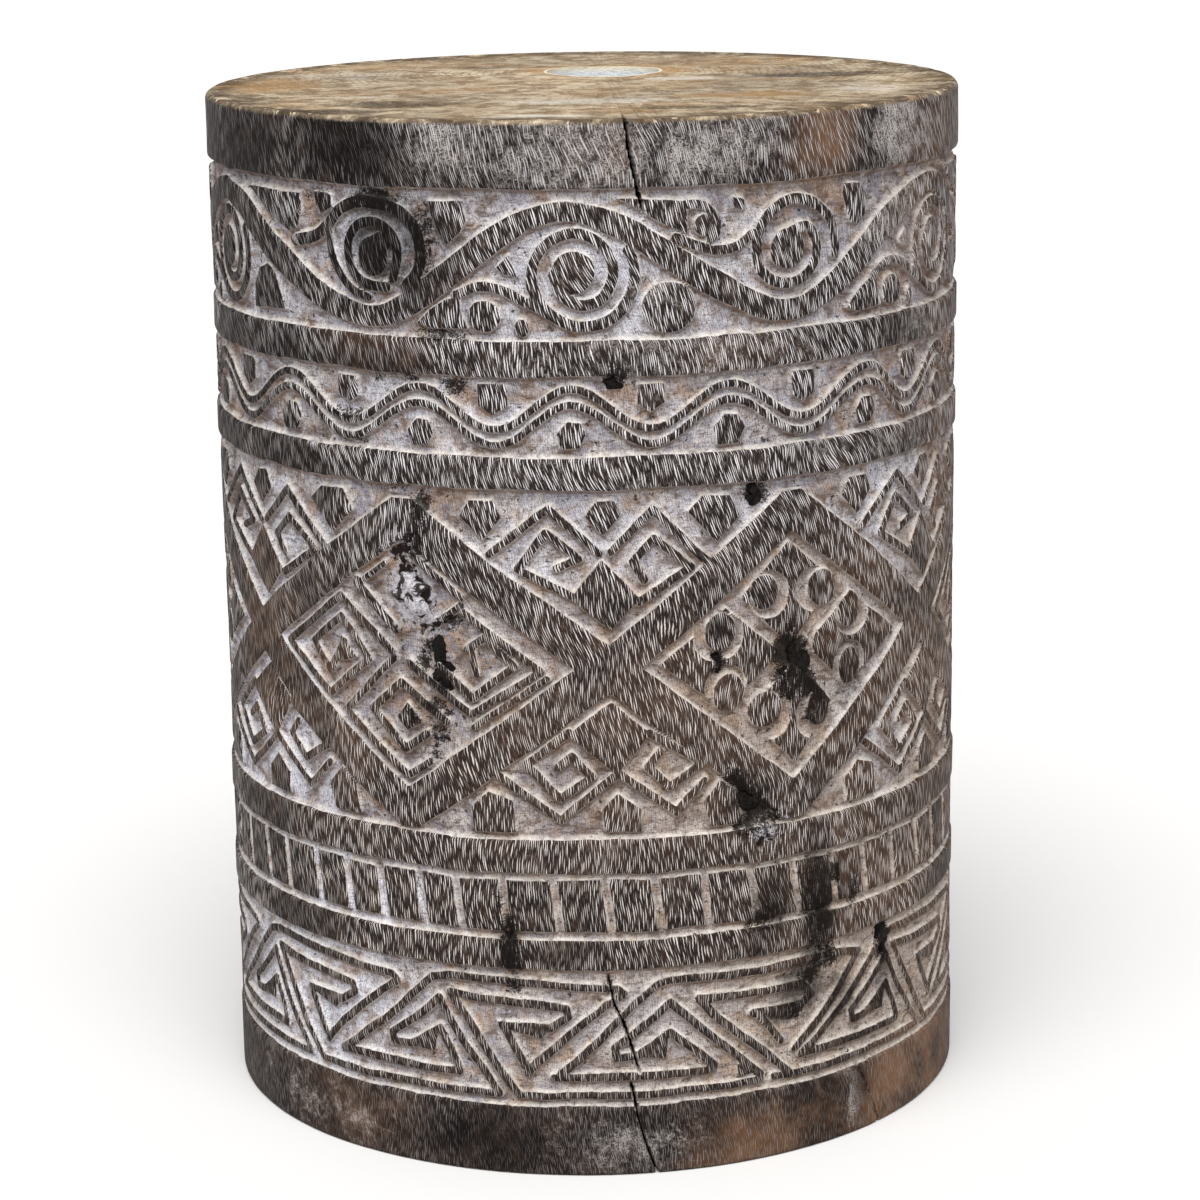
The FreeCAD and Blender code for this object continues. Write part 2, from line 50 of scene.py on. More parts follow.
# The drum, in millimetres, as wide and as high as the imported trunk. On the side, u runs round the
# surface from the middle of the front and z runs up from the foot.
trunkLow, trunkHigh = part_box("trunk")
boreMount = next(m for m in frame["record"]["mounts"] if m["name"] == "pith_bore")
drum = {
    "radius": 500 * (trunkHigh.x - trunkLow.x),
    "height": 1000 * (trunkHigh.z - trunkLow.z),
    "seatEdge": 3.0,
    "footEdge": 1.5,
    "boreX": 1000 * boreMount["pos_m"][0],
    "boreY": 1000 * boreMount["pos_m"][1],
    "boreRadius": boreMount["dims"]["r_mm"],
    "mouthFlare": 3.0,
    "flareRuns": 20,        # the flare takes one part in so many of the bore
    "boreWobble": 0.4,
    "seatDish": 0.5,
    "edgeRagged": 0.25,
    "triangles": 194000,
    "smoothTo": 42,         # degrees
}
radius, height = drum["radius"], drum["height"]
girth = 2 * math.pi * radius

# How the sheet that becomes the trunk's skin is divided, and how the gouge works in it.
sheet = {"pitch": 0.8, "seatRows": 36, "boreRows": 24, "underRows": 10}
carving = {
    "ringDrop": 0.25,       # plain rings, under the drum's radius
    "motifDrop": 0.85,      # tops of the motifs
    "arris": 0.7,           # how far in the worn edge of a top reaches
    "arrisDrop": 0.3,
    "coveRun": 2.7,         # from an arris to the flat of the floor
    "coveTurn": 2.4,        # how steeply the gouge goes in
    "handWobble": 0.5,
    "reach": 7.0,
    "drawnIn": 0.55,        # of the pitch: spots as near as this are drawn onto an edge
    "sureSlope": 0.35,
    "plainEnds": 4.0,
    "wear": [(5, 45, 0.175), (6, 18, 0.1)],      # seed, cell and rise of each unevenness
    "gouged": [(7, 11, 0.3), (8, 26, 0.25), (10, 4, 0.12)],
}
bands = {
    "key": {"low": 29.5, "high": 89.0, "floor": 2.9},
    "ladder": {"low": 101.0, "high": 129.5, "floor": 2.9},
    "lattice": {"low": 143.5, "high": 287.5, "floor": 3.3},
    "wave": {"low": 300.0, "high": 332.5, "floor": 3.2},
    "scroll": {"low": 346.0, "high": 405.5, "floor": 3.5},
}

columns = round(girth / sheet["pitch"])
rows = round(height / sheet["pitch"])
stepU = girth / columns
acrossU = np.arange(columns) * stepU - girth / 2
upZ = np.linspace(0, height - 0.3, rows + 1)
gridU, gridZ = np.meshgrid(acrossU, upZ)


# smooth chance from -1 to 1 over a lattice of cells, closed round the back
def unevenness(seed, across, up, cells):
    wide, tall = cells
    lattice = np.random.default_rng(seed).uniform(-1, 1, (tall + 2, wide))
    column, row = np.floor(across * wide).astype(int), np.floor(up * tall).astype(int)
    s, t = across * wide - column, up * tall - row
    s, t = s * s * (3 - 2 * s), t * t * (3 - 2 * t)
    left, right = column % wide, (column + 1) % wide
    below, above = np.clip(row, 0, tall + 1), np.clip(row + 1, 0, tall + 1)
    lower = lattice[below, left] * (1 - s) + lattice[below, right] * s
    upper = lattice[above, left] * (1 - s) + lattice[above, right] * s
    return lower * (1 - t) + upper * t


def sideUnevenness(seed, cell):
    cells = (round(girth / cell), round(height / cell))
    return unevenness(seed, gridU / girth + 0.5, gridZ / height, cells)


def corners(mesh):
    spots = np.empty(3 * len(mesh.vertices))
    mesh.vertices.foreach_get("co", spots)
    return spots.reshape(-1, 3)


def placeCorners(mesh, spots):
    mesh.vertices.foreach_set("co", spots.astype(np.float32).ravel())


wobbleU = carving["handWobble"] * (sideUnevenness(1, 16) + 0.4 * sideUnevenness(2, 5))
wobbleZ = carving["handWobble"] * (sideUnevenness(3, 16) + 0.4 * sideUnevenness(4, 5))

# level: distance to the nearest edge of what stays raised, below zero on the raised tops
bandDistance = [np.minimum(gridZ + wobbleZ - b["low"], b["high"] - gridZ - wobbleZ) for b in bands.values()]
level = np.max(bandDistance, axis=0)
inBand = level > 0


# the part of the sheet around a shape, with the hand's wobble in its coordinates
def sheetPatch(us, zs, margin=carving["reach"]):
    first = math.floor((min(us) - margin + girth / 2) / stepU)
    last = math.ceil((max(us) + margin + girth / 2) / stepU)
    around = np.arange(first, last + 1)
    upward = np.nonzero((upZ > min(zs) - margin) & (upZ < max(zs) + margin))[0]
    spots = np.ix_(upward, around % columns)
    return spots, around * stepU - girth / 2 + wobbleU[spots], upZ[upward][:, None] + wobbleZ[spots]


def nearestOnRun(u, z, start, end):
    du, dz = end[0] - start[0], end[1] - start[1]
    along = np.clip(((u - start[0]) * du + (z - start[1]) * dz) / (du * du + dz * dz), 0, 1)
    return along, start[0] + along * du, start[1] + along * dz


def raiseUp(spots, distance):
    level[spots] = np.minimum(level[spots], distance)


def sinkIn(spots, distance):
    level[spots] = np.maximum(level[spots], -distance)


# each point of a line has its half-width third
def drawLine(points, mark=raiseUp):
    for start, end in zip(points, points[1:]):
        spots, u, z = sheetPatch((start[0], end[0]), (start[1], end[1]))
        along, nearU, nearZ = nearestOnRun(u, z, start, end)
        mark(spots, np.hypot(u - nearU, z - nearZ) - (start[2] + along * (end[2] - start[2])))


def raiseArea(points):
    spots, u, z = sheetPatch([p[0] for p in points], [p[1] for p in points])
    distance = np.full(u.shape, 1e9)
    inside = np.zeros(u.shape, bool)
    for start, end in zip(points, points[1:] + points[:1]):
        along, nearU, nearZ = nearestOnRun(u, z, start, end)
        distance = np.minimum(distance, np.hypot(u - nearU, z - nearZ))
        spans = (start[1] > z) != (end[1] > z)
        rise = end[1] - start[1] if end[1] != start[1] else 1e-9
        inside ^= spans & (u < start[0] + (z - start[1]) * (end[0] - start[0]) / rise)
    raiseUp(spots, np.where(inside, -distance, distance))


def drawDisc(middleU, middleZ, halfU, halfZ, mark):
    us, zs = (middleU - halfU, middleU + halfU), (middleZ - halfZ, middleZ + halfZ)
    spots, u, z = sheetPatch(us, zs)
    mark(spots, (np.hypot((u - middleU) / halfU, (z - middleZ) / halfZ) - 1) * min(halfU, halfZ))


# a smooth line through given points
def throughPoints(points, steps=6):
    known = np.array(points, float)
    known = np.vstack([2 * known[0] - known[1], known, 2 * known[-1] - known[-2]])
    line = []
    for a, b, c, d in zip(known, known[1:], known[2:], known[3:]):
        for t in np.arange(steps) / steps:
            line.append(0.5 * (2 * b + (c - a) * t + (2 * a - 5 * b + 4 * c - d) * t**2
                               + (3 * b - a - 3 * c + d) * t**3))
    return [tuple(p) for p in line] + [tuple(known[-2])]


# Shapes are drawn once, where the front shows them, and placed from one span of u to another.
# A line, curve or groove has its half-width first, an area its corners, a disc or hollow its middle
# and half-sizes.
def drawShapes(shapes, fromSpan, toSpan):
    stretch = (toSpan[1] - toSpan[0]) / (fromSpan[1] - fromSpan[0])

    def placed(u):
        return toSpan[0] + (u - fromSpan[0]) * stretch

    for kind, *form in shapes:
        mark = sinkIn if kind in ("groove", "hollow") else raiseUp
        if kind in ("line", "curve", "groove"):
            half, points = form
            line = [(placed(u), z, half) for u, z in points]
            drawLine(line if kind == "line" else throughPoints(line), mark)
        elif kind == "area":
            raiseArea([(placed(u), z) for u, z in form[0]])
        else:
            u, z, halfU, halfZ = form
            drawDisc(placed(u), z, halfU * stretch, halfZ, mark)


# Scroll band: a vine with a volute under each crest and one over each trough.
scroll = {
    "crests": [-188.0, -5.0, 178.0, 337.8, 497.6, 657.4],
    "vine": [(-5, 396.6, 3.7), (12, 391.6, 4.4), (30, 380.5, 4.6), (50, 368, 5.2), (70, 357.6, 4.6),
             (85, 353.8, 4.0), (100, 358, 4.6), (120, 370.5, 5.6), (140, 384, 5.8), (160, 393, 5.2)],
    "leftVine": [(-188, 397.5, 4.2), (-170, 391.5, 5.2), (-150, 379, 5.8), (-130, 368, 5.6),
                 (-110, 358, 5.0), (-90, 353.6, 4.0), (-75, 358, 4.6), (-60, 368, 5.0), (-40, 383, 4.8),
                 (-22, 393.8, 4.0)],
    "underCrest": [
        ("curve", 1.9, [(-12.5, 372), (-9, 364), (-1, 360.3), (7, 362.5), (11, 370), (10.5, 378),
                        (5, 385.5), (-4, 388.3), (-13, 385.5), (-19, 379), (-21, 371), (-19, 363.5),
                        (-14.5, 357.5), (-6, 353), (2, 352), (10, 354.5), (16.5, 361), (19.3, 369),
                        (19, 377), (17, 381.5)]),
        ("disc", -4.5, 373, 8.3, 8.3),
        ("curve", 1.6, [(-52, 363.5), (-42, 367.6), (-33, 366.5), (-24, 362), (-15, 357.3)]),
        ("area", [(-68, 352), (-62, 358), (-56, 361.5), (-50.5, 363), (-50, 357), (-47, 351), (-62, 350.5)]),
        ("disc", -40, 356, 6.3, 6.0),
        ("area", [(-34.5, 375.5), (-30, 379.5), (-27, 371.8), (-32, 373)]),
        ("disc", -25.5, 351.5, 2.4, 3.2),
    ],
    "overTrough": [
        ("curve", 1.9, [(86, 385.5), (93, 386.5), (97.8, 380), (96.5, 371.5), (89, 365.3), (79.5, 365.5),
                        (72, 371), (70, 379), (71.5, 387), (77.5, 394.5), (86.5, 398), (96, 396),
                        (103.5, 390), (107.2, 382), (107.8, 374.5)]),
        ("disc", 84, 378.5, 7.5, 8.0),
        ("disc", 33, 358.7, 11, 9.6),
        ("area", [(14, 401.5), (24, 400.3), (40, 399.8), (40.5, 386.5), (33, 390), (24, 395)]),
        ("curve", 1.6, [(40, 398.4), (47, 397.6), (52.3, 393), (53, 387), (50.5, 384.5)]),
        ("disc", 47.6, 389.8, 4.0, 4.2),
        ("curve", 1.7, [(36, 385), (44, 382), (52, 380.2), (61, 381), (68, 385.5)]),
        ("area", [(59, 400), (64, 399.5), (64.5, 395.2), (60.5, 395.8)]),
        ("area", [(112.5, 398), (114, 401), (122, 400.5), (125.5, 396), (125, 388), (121, 385), (117, 386),
                  (114.5, 392)]),
    ],
    "leftTrough": [
        ("curve", 2.2, [(-130, 381), (-118, 384), (-110.5, 389), (-104, 395.5), (-95, 399), (-86, 399),
                        (-76, 396), (-69, 389.5), (-66.3, 381), (-67.5, 373), (-73, 366.5)]),
        ("curve", 1.5, [(-110.5, 389), (-109, 379), (-106, 371.5), (-99.5, 364.5), (-91, 361.3)]),
        ("curve", 1.9, [(-78.5, 370), (-76.7, 379), (-79.5, 387), (-87, 391), (-95, 389.3), (-99.7, 383),
                        (-99.7, 375), (-96, 369), (-89, 366.3), (-82, 366)]),
        ("curve", 1.3, [(-87, 384.5), (-83, 386), (-81, 382)]),
        ("disc", -88, 377.5, 6.8, 7.4),
        ("area", [(-161, 351), (-160.5, 361), (-156, 367.5), (-150, 369.5), (-145, 366.5), (-142, 360),
                  (-139, 352)]),
        ("area", [(-163, 399.8), (-127, 399.8), (-126, 394), (-129, 386), (-134, 384.5), (-146, 390)]),
        ("area", [(-118, 401), (-109.5, 400.5), (-109, 396), (-114, 393), (-117, 396)]),
        ("area", [(-62, 400), (-49, 400.5), (-47, 393), (-50, 388), (-55, 384), (-58.5, 389), (-61, 395)]),
    ],
}


def carveScroll():
    leftOf, drawn = scroll["crests"][:2], scroll["crests"][1:3]
    crests = scroll["crests"] + [scroll["crests"][0] + girth]
    vine = list(scroll["leftVine"])
    for start, end in zip(crests[1:], crests[2:]):
        stretch = (end - start) / (drawn[1] - drawn[0])
        vine += [(start + (u - drawn[0]) * stretch, z, half) for u, z, half in scroll["vine"]]
        drawShapes(scroll["overTrough"], drawn, (start, end))
        drawShapes(scroll["underCrest"], leftOf, (start, end))
    first = scroll["leftVine"][0]
    drawLine(throughPoints(vine + [(first[0] + girth, first[1], first[2])]))
    drawShapes(scroll["underCrest"], leftOf, leftOf)
    drawShapes(scroll["leftTrough"], leftOf, leftOf)


# Wave band: two ridges side by side, with a peg in each bay.
wave = {
    "count": 16, "crests": [-203.0, -137.0, -68.5, -6.0, 57.5, 126.0, 187.0], "rise": 8.1, "ridge": 1.25,
    "middles": (319.2, 312.9),
    "topPeg": [(-5.4, 4.4), (4.8, 4.4), (5.4, -3.4), (-0.3, -7), (-5.2, -3.6)], "topPegZ": 324.5,
    "lowPeg": [(-5.8, 0.8), (-1.5, 5.4), (3.5, 4.8), (6, 0.6), (3.2, -5), (-4, -5.2)], "lowPegZ": 309.2,
}


def carveWave():
    seen = wave["crests"]
    rest = np.linspace(seen[-1], seen[0] + girth, wave["count"] - len(seen) + 2)
    crests = np.concatenate([seen, rest[1:]])
    chance = np.random.default_rng(11)
    us = np.linspace(crests[0], crests[-1], 16 * wave["count"] + 1)
    turns = np.interp(us, crests, np.arange(len(crests)))
    for middle in wave["middles"]:
        zs = middle + wave["rise"] * np.cos(2 * math.pi * turns)
        drawLine([(u, z, wave["ridge"]) for u, z in zip(us, zs)])
    for crest, following in zip(crests, crests[1:]):
        for middle, z, peg in ((crest, wave["lowPegZ"], wave["lowPeg"]),
                               ((crest + following) / 2, wave["topPegZ"], wave["topPeg"])):
            size = chance.uniform(0.95, 1.12)
            raiseArea([(middle + size * u, z + size * h) for u, h in peg])


# Lattice band: broad crossing bars, spiral lozenges and discs in the diamonds, small lozenges between.
lattice = {
    "crossings": [-165.0, 7.5, 167.0, 335.3, 503.7, 672.0],
    "tops": [-78.0, 86.0, 251.0, 419.5, 587.9, 756.0],
    "crossingZ": 214.8, "topZ": 275.0, "footZ": 152.0, "bar": 7.8,
    "lozenges": [
        ("line", 1.4, [(-84, 218), (-110, 238.3), (-143.5, 214), (-118, 196.5), (-96, 213.5), (-110, 229.5),
                       (-127, 217), (-118, 206.5), (-109, 219)]),
        ("area", [(-110.5, 221), (-103, 213), (-113, 210.5), (-116, 206)]),
        ("line", 1.3, [(-83, 215.5), (-109, 190.5), (-78, 167), (-68, 174)]),
        ("line", 1.4, [(-60, 191.5), (-80, 206), (-95, 193), (-79, 178.5), (-69, 185.5)]),
        ("area", [(-82.5, 191.5), (-77.5, 197.5), (-71, 190), (-78, 186.5)]),
        ("line", 1.3, [(-76, 214.5), (-49, 195.3), (-20, 213.5), (-52, 237)]),
        ("line", 1.4, [(-63, 214.5), (-48.5, 201.8), (-31, 215.5), (-43, 227.5), (-51, 222)]),
        ("line", 1.3, [(-49, 221), (-46.5, 211.5)]),
        ("line", 1.7, [(-101, 245.5), (-82, 227.5)]),
        ("line", 1.3, [(-74, 259), (-53, 243)]),
        ("line", 1.25, [(-64, 232), (-53, 240)]),
        ("line", 1.1, [(-48, 190), (-17.5, 210.8)]),
        ("line", 1.0, [(-99.5, 245), (-87, 254.3)]),
    ],
    "discs": [
        ("area", [(84.5, 260.5), (62, 240), (84, 219), (107, 241)]),
        ("area", [(28, 215.5), (55, 236.5), (79, 216.5), (55, 195)]),
        ("area", [(91.5, 218), (115, 236), (145, 215), (115, 196)]),
        ("area", [(86, 211), (65, 192), (87, 169), (106, 192)]),
        ("hollow", 75.2, 239.9, 9.6, 9.9), ("disc", 72.8, 240.9, 6.2, 6.8),
        ("hollow", 97.6, 239.6, 10.2, 9.6), ("disc", 101.0, 239.8, 7.0, 7.2),
        ("hollow", 118.2, 226.2, 10.2, 9.6), ("disc", 116.0, 228.4, 6.0, 7.0),
        ("hollow", 116.2, 205.4, 9.6, 9.8), ("disc", 116.2, 204.2, 5.8, 7.2),
        ("hollow", 52.4, 225.2, 11.0, 10.2), ("disc", 53.0, 227.2, 6.4, 7.4),
        ("hollow", 55.4, 204.2, 9.2, 9.0), ("disc", 56.6, 201.4, 6.6, 7.4),
        ("hollow", 75.6, 190.2, 9.8, 10.2), ("disc", 73.0, 192.8, 7.4, 7.2),
        ("hollow", 96.0, 187.4, 8.8, 9.8), ("disc", 99.3, 189.8, 5.6, 7.2),
        ("groove", 1.8, [(114.6, 236.4), (105.2, 229.1), (96, 221.5), (94.2, 213.5), (97, 206.2),
                         (103.7, 200.2), (110.5, 197)]),
        ("groove", 1.5, [(57, 191.7), (66, 198), (74, 204.8)]),
    ],
    "between": [
        ("line", 1.4, [(-40, 261.5), (-16, 280), (4, 262)]),
        ("line", 1.45, [(-7, 244.5), (-28.5, 256), (-17, 270.5), (-4, 260), (-13, 256.5)]),
        ("area", [(5, 259.5), (20, 243), (8, 231), (-8, 244)]),
        ("line", 1.4, [(8.5, 262.5), (25, 278.5), (48.5, 256)]),
        ("line", 1.45, [(20, 242), (41.5, 255), (25.5, 267), (17, 258), (22, 250.5)]),
        ("area", [(-52, 276), (-48, 282.5), (-38, 282.5), (-35, 276), (-43, 267)]),
        ("area", [(-1.5, 277), (3, 283), (10, 283), (12.5, 277), (5.5, 269.5)]),
        ("area", [(40, 277), (46, 282.5), (58, 282.5), (62, 274), (52, 264)]),
        ("area", [(7.5, 201), (-9, 188), (10, 171), (23, 188)]),
        ("line", 1.45, [(-9, 189), (-27, 175), (-13, 161), (0, 170), (-8, 179), (-14, 174)]),
        ("line", 1.4, [(-38, 170), (-13, 152), (9, 170)]),
        ("line", 1.45, [(23, 188), (45, 173.5), (31, 165), (22, 174), (27, 180)]),
        ("line", 1.4, [(11, 171), (34, 154), (46, 166)]),
        ("area", [(4, 156), (10.5, 162.5), (19, 156), (19, 147), (5, 147)]),
        ("area", [(-50, 157), (-43, 163.5), (-33, 160), (-32, 147), (-49, 147)]),
        ("area", [(46, 157), (53, 165.5), (60, 160), (62, 147), (49, 147)]),
    ],
}


def carveLattice():
    crossings = lattice["crossings"] + [lattice["crossings"][0] + girth]
    tops = [lattice["tops"][-1] - girth] + lattice["tops"]
    drawnCells = list(zip(crossings[:2], crossings[1:3]))
    for k, top in enumerate(lattice["tops"]):
        for side in (crossings[k], crossings[k + 1]):
            for z in (lattice["topZ"], lattice["footZ"]):
                drawLine([(side, lattice["crossingZ"], lattice["bar"]), (top, z, lattice["bar"])])
        inside = lattice["discs"] if k % 2 else lattice["lozenges"]
        drawShapes(inside, drawnCells[k % 2], (crossings[k], crossings[k + 1]))
    for left, right in zip(tops, tops[1:]):
        drawShapes(lattice["between"], (tops[1], tops[2]), (left, right))


# Ladder band: blocks parted by slots that lean a little, as the front shows them and then evenly.
ladder = {
    "low": 105.0, "high": 126.3, "slot": 1.9, "lean": 1.4,
    "slots": [-110.5, -92.5, -73.5, -56.5, -37, -15.5, 6, 26.5, 46.5, 67.5, 87.5, 107.5, 126],
    "restCount": 38,
}


def carveLadder():
    chance = np.random.default_rng(12)
    first, last = ladder["slots"][-1], ladder["slots"][0] + girth
    pitch = (last - first) / (ladder["restCount"] + 1)
    rest = [first + pitch * (k + 1) + chance.uniform(-1, 1) for k in range(ladder["restCount"])]
    slots = ladder["slots"] + rest
    for left, right in zip(slots, slots[1:] + [last]):
        low, high = left + ladder["slot"], right - ladder["slot"]
        lean, top = ladder["lean"], ladder["high"] + chance.uniform(-0.5, 0.5)
        raiseArea([(low + lean, ladder["low"]), (high + lean, ladder["low"]), (high - lean, top),
                   (low - lean, top)])


# Key band: upright and hanging triangles, each wound up as a key. Most are steep, and one is wide.
key = {
    "tops": [-165.5, -67.0, 30.5, 141.0, 240.8, 340.7, 440.5, 540.3, 640.2, 740.0],
    "wideOne": 2,
    "steep": [
        ("line", 1.4, [(-117, 42.5), (-110, 47), (-95, 59), (-80, 73), (-70, 82), (-62, 83.8), (-40, 83.3),
                       (-10, 81.7), (9, 80.7), (11.3, 78.2), (4, 73.5), (-10, 61.5), (-25, 48.5),
                       (-28.5, 44)]),
        ("line", 1.45, [(-29.5, 47), (-39.5, 64.3), (-27, 64), (-19, 63.5), (-11.5, 68.5), (-12.5, 72.3),
                       (-30, 74), (-50, 75), (-62, 76.5), (-52, 62), (-42, 46.5), (-32.5, 34.5)]),
        ("area", [(-41, 65.5), (-18, 65), (-22.5, 59.3), (-33, 62)]),
        ("line", 1.4, [(-89, 50.5), (-90, 55), (-83.5, 60), (-75.5, 66), (-67, 73.5), (-63, 66), (-57, 56),
                       (-46.5, 42.5), (-41, 35.5)]),
        ("line", 1.4, [(-87.5, 50.5), (-80.5, 51.5), (-67, 60.5), (-62.5, 52), (-59, 44), (-59, 42.3),
                       (-115.5, 42.5)]),
        ("area", [(-82, 51), (-68, 60), (-70, 50.5)]),
        ("line", 1.25, [(-130, 34.6), (-41, 34.6)]),
    ],
    "wide": [
        ("line", 1.4, [(-15, 44.5), (0, 57), (8, 66), (15, 73), (25, 81.5), (31, 83), (60, 82.7), (88, 82.5),
                       (112, 82), (122, 80.3), (112, 69), (100, 56.5), (86.5, 45.5)]),
        ("line", 1.45, [(80, 50), (70, 62.5), (67, 64.5), (78, 64), (90, 63.5), (95, 67.5), (90, 72.6),
                       (70, 73.3), (43, 73.8), (50, 66), (60, 56.5), (70, 48), (85, 34.5)]),
        ("area", [(66, 65), (90, 65.5), (86, 59.5), (78, 60.5)]),
        ("line", 1.4, [(8.5, 50.5), (7.5, 55), (14, 60), (22, 66), (30.5, 73.5), (40, 65.5), (50, 55.5),
                       (60, 46.5), (70, 37)]),
        ("line", 1.4, [(10, 50.5), (17, 51.5), (30.5, 61), (40, 53), (49, 44.5), (48, 42.5), (-18, 42.5)]),
        ("area", [(15, 51), (29.5, 60.3), (28, 50)]),
        ("area", [(59.5, 43.5), (68, 38.5), (60.5, 38)]),
        ("line", 1.25, [(-30, 34.6), (70, 34.6)]),
    ],
}


def carveKey():
    tops = key["tops"] + [key["tops"][0] + girth]
    for k, span in enumerate(zip(tops, tops[1:])):
        if k == key["wideOne"]:
            drawShapes(key["wide"], span, span)
        else:
            drawShapes(key["steep"], (tops[1], tops[2]), span)


carveScroll()
carveWave()
carveLattice()
carveLadder()
carveKey()
print("carving drawn on", columns, "by", rows, "spots")


# The stopped voids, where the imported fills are: an uneven outline, flush with the tops, settled at its rim.
fillLook = {
    "ripple": 0.3, "crown": 0.7, "rimDepth": 4.0, "lump": 1.2, "seat": 6.0, "spread": 0.92,
    "clear": 0.3, "covers": 0.95,      # the void lies this far under its fill, and ends inside its rim
    "segments": 72, "rings": 40, "shoulder": 0.8, "wall": 0.3,
}


def fillForm(node):
    spots = corners(frame["nodes"][node].data) * 1000
    u = radius * np.arctan2(spots[:, 0], -spots[:, 1])
    low, high = (u.min(), spots[:, 2].min()), (u.max(), spots[:, 2].max())
    chance = np.random.default_rng(len(node) + round(spots[:, 2].min()))
    return {
        "u": (low[0] + high[0]) / 2, "z": (low[1] + high[1]) / 2,
        "halfU": fillLook["spread"] * (high[0] - low[0]) / 2,
        "halfZ": fillLook["spread"] * (high[1] - low[1]) / 2,
        "phases": chance.uniform(0, 2 * math.pi, 7),
    }


fills = {node: fillForm(node) for node in sorted(frame["nodes"]) if node != "trunk"}


# the fill's uneven rim, as a share of its half-sizes
def fillRim(form, turn):
    ripple = sum(np.sin((k + 2) * turn + form["phases"][k]) / (1 + 0.4 * k) for k in range(4))
    return 1 + fillLook["ripple"] * ripple


# how far out of the fill's middle a place is, 1 at its rim
def fillReach(form, u, z):
    a, b = (u - form["u"]) / form["halfU"], (z - form["z"]) / form["halfZ"]
    return np.hypot(a, b) / fillRim(form, np.arctan2(b, a))


def fillDepth(form, u, z):
    reach = np.clip(fillReach(form, u, z), 0, 1)
    p = form["phases"]
    lumps = np.sin(u * 1.1 + p[4]) * np.sin(z * 0.9 + p[5]) + 0.5 * np.sin(u * 2.3 - z * 1.7 + p[6])
    settled = fillLook["rimDepth"] * reach**4
    return np.maximum(fillLook["crown"] + fillLook["lump"] * 0.5 * (1 + lumps / 1.5) + settled, 0.05)


# Drying cracks, down the side from the seat and up from the foot.
cracks = {
    "routes": [
        [(16.4, 432), (17.8, 420), (21, 404.7), (23.6, 395)],
        [(4.8, 86.5), (7.5, 73), (11.1, 65.5), (13.8, 57.2), (17.6, 43.5)],
        [(13.9, 39.5), (15.6, 31.9), (16.7, 24), (19.9, 12.4), (24.3, 0)],
        [(121.5, 29.2), (128, 16), (135, 1)],
    ],
    "deep": [8.0, 5.5, 7.0, 3.5],
    "half": 0.72,           # of the sheet's pitch
    "tip": 0.25,            # how far a crack still gapes at its tip
    "notchHalf": 0.6, "notchDeep": 6.0, "notchRun": 0.08,      # where the first one meets the seat
}


# spots near an arris are drawn onto it, so that a slanting edge comes out clean
def drawnOntoEdges():
    slopeU = (np.roll(level, -1, 1) - np.roll(level, 1, 1)) / (2 * stepU)
    slopeZ = np.gradient(level, upZ[1], axis=0)
    steep = slopeU**2 + slopeZ**2
    near = carving["drawnIn"] * sheet["pitch"]
    target = np.where(np.abs(level) < near, 0.0, level)
    ends = carving["plainEnds"]
    sure = (steep > carving["sureSlope"]) & (gridZ > ends) & (gridZ < height - ends)
    pull = np.clip((target - level) / np.maximum(steep, carving["sureSlope"]), -near, near)
    pull = np.where(sure, pull, 0)
    return np.where(sure, target, level), gridU + pull * slopeU, gridZ + pull * slopeZ


def handMarks(name):
    return sum(rise * sideUnevenness(seed, cell) for seed, cell, rise in carving[name])


# depth under the drum's radius
def carvedDepth(settled):
    top = np.where(inBand, carving["motifDrop"], carving["ringDrop"]) + handMarks("wear")
    floor = np.full(level.shape, bands["wave"]["floor"])
    for band in bands.values():
        floor[(gridZ > band["low"] - 2) & (gridZ < band["high"] + 2)] = band["floor"]
    floor = floor + handMarks("gouged")
    edge = top + carving["arrisDrop"] * np.clip(1 + settled / carving["arris"], 0, 1) ** 2
    cove = 1 - (1 - np.clip(settled / carving["coveRun"], 0, 1)) ** carving["coveTurn"]
    return np.maximum(edge + (floor - edge) * cove, 0.0)


def openCracks(sideU, sideZ, depth):
    for route, deep in zip(cracks["routes"], cracks["deep"]):
        for part, (start, end) in enumerate(zip(route, route[1:])):
            spots, u, z = sheetPatch((start[0], end[0]), (start[1], end[1]), 3)
            u, z = sideU[spots] + np.round((u - sideU[spots]) / girth) * girth, sideZ[spots]
            along, nearU, nearZ = nearestOnRun(u, z, start, end)
            here = np.hypot(u - nearU, z - nearZ) < cracks["half"] * sheet["pitch"]
            gape = np.ones(u.shape)
            if part == 0 and start[1] < height - 1:
                gape = np.minimum(gape, cracks["tip"] + 2 * along)
            if part == len(route) - 2 and end[1] > 1:
                gape = np.minimum(gape, cracks["tip"] + 2 * (1 - along))
            sideU[spots] = np.where(here, nearU, sideU[spots])
            sideZ[spots] = np.where(here, np.clip(nearZ, 0, height), sideZ[spots])
            depth[spots] = np.where(here, depth[spots] + deep * gape, depth[spots])


# the void under each fill, only where the fill covers it
def openVoids(sideU, sideZ, depth):
    for form in fills.values():
        us = (form["u"] - form["halfU"], form["u"] + form["halfU"])
        zs = (form["z"] - form["halfZ"], form["z"] + form["halfZ"])
        spots = sheetPatch(us, zs)[0]
        covered = fillDepth(form, sideU[spots], sideZ[spots]) < depth[spots] - fillLook["clear"]
        covered &= fillReach(form, sideU[spots], sideZ[spots]) < fillLook["covers"]
        depth[spots] = np.where(covered, fillLook["seat"] + fillLook["clear"], depth[spots])


# How far the sawn seat lies under the trunk's full height. A mark has its seed, cells and rise.
sawn = {"span": 2.2, "drop": 0.45, "marks": [(21, 9, 0.3), (22, 31, 0.15)]}


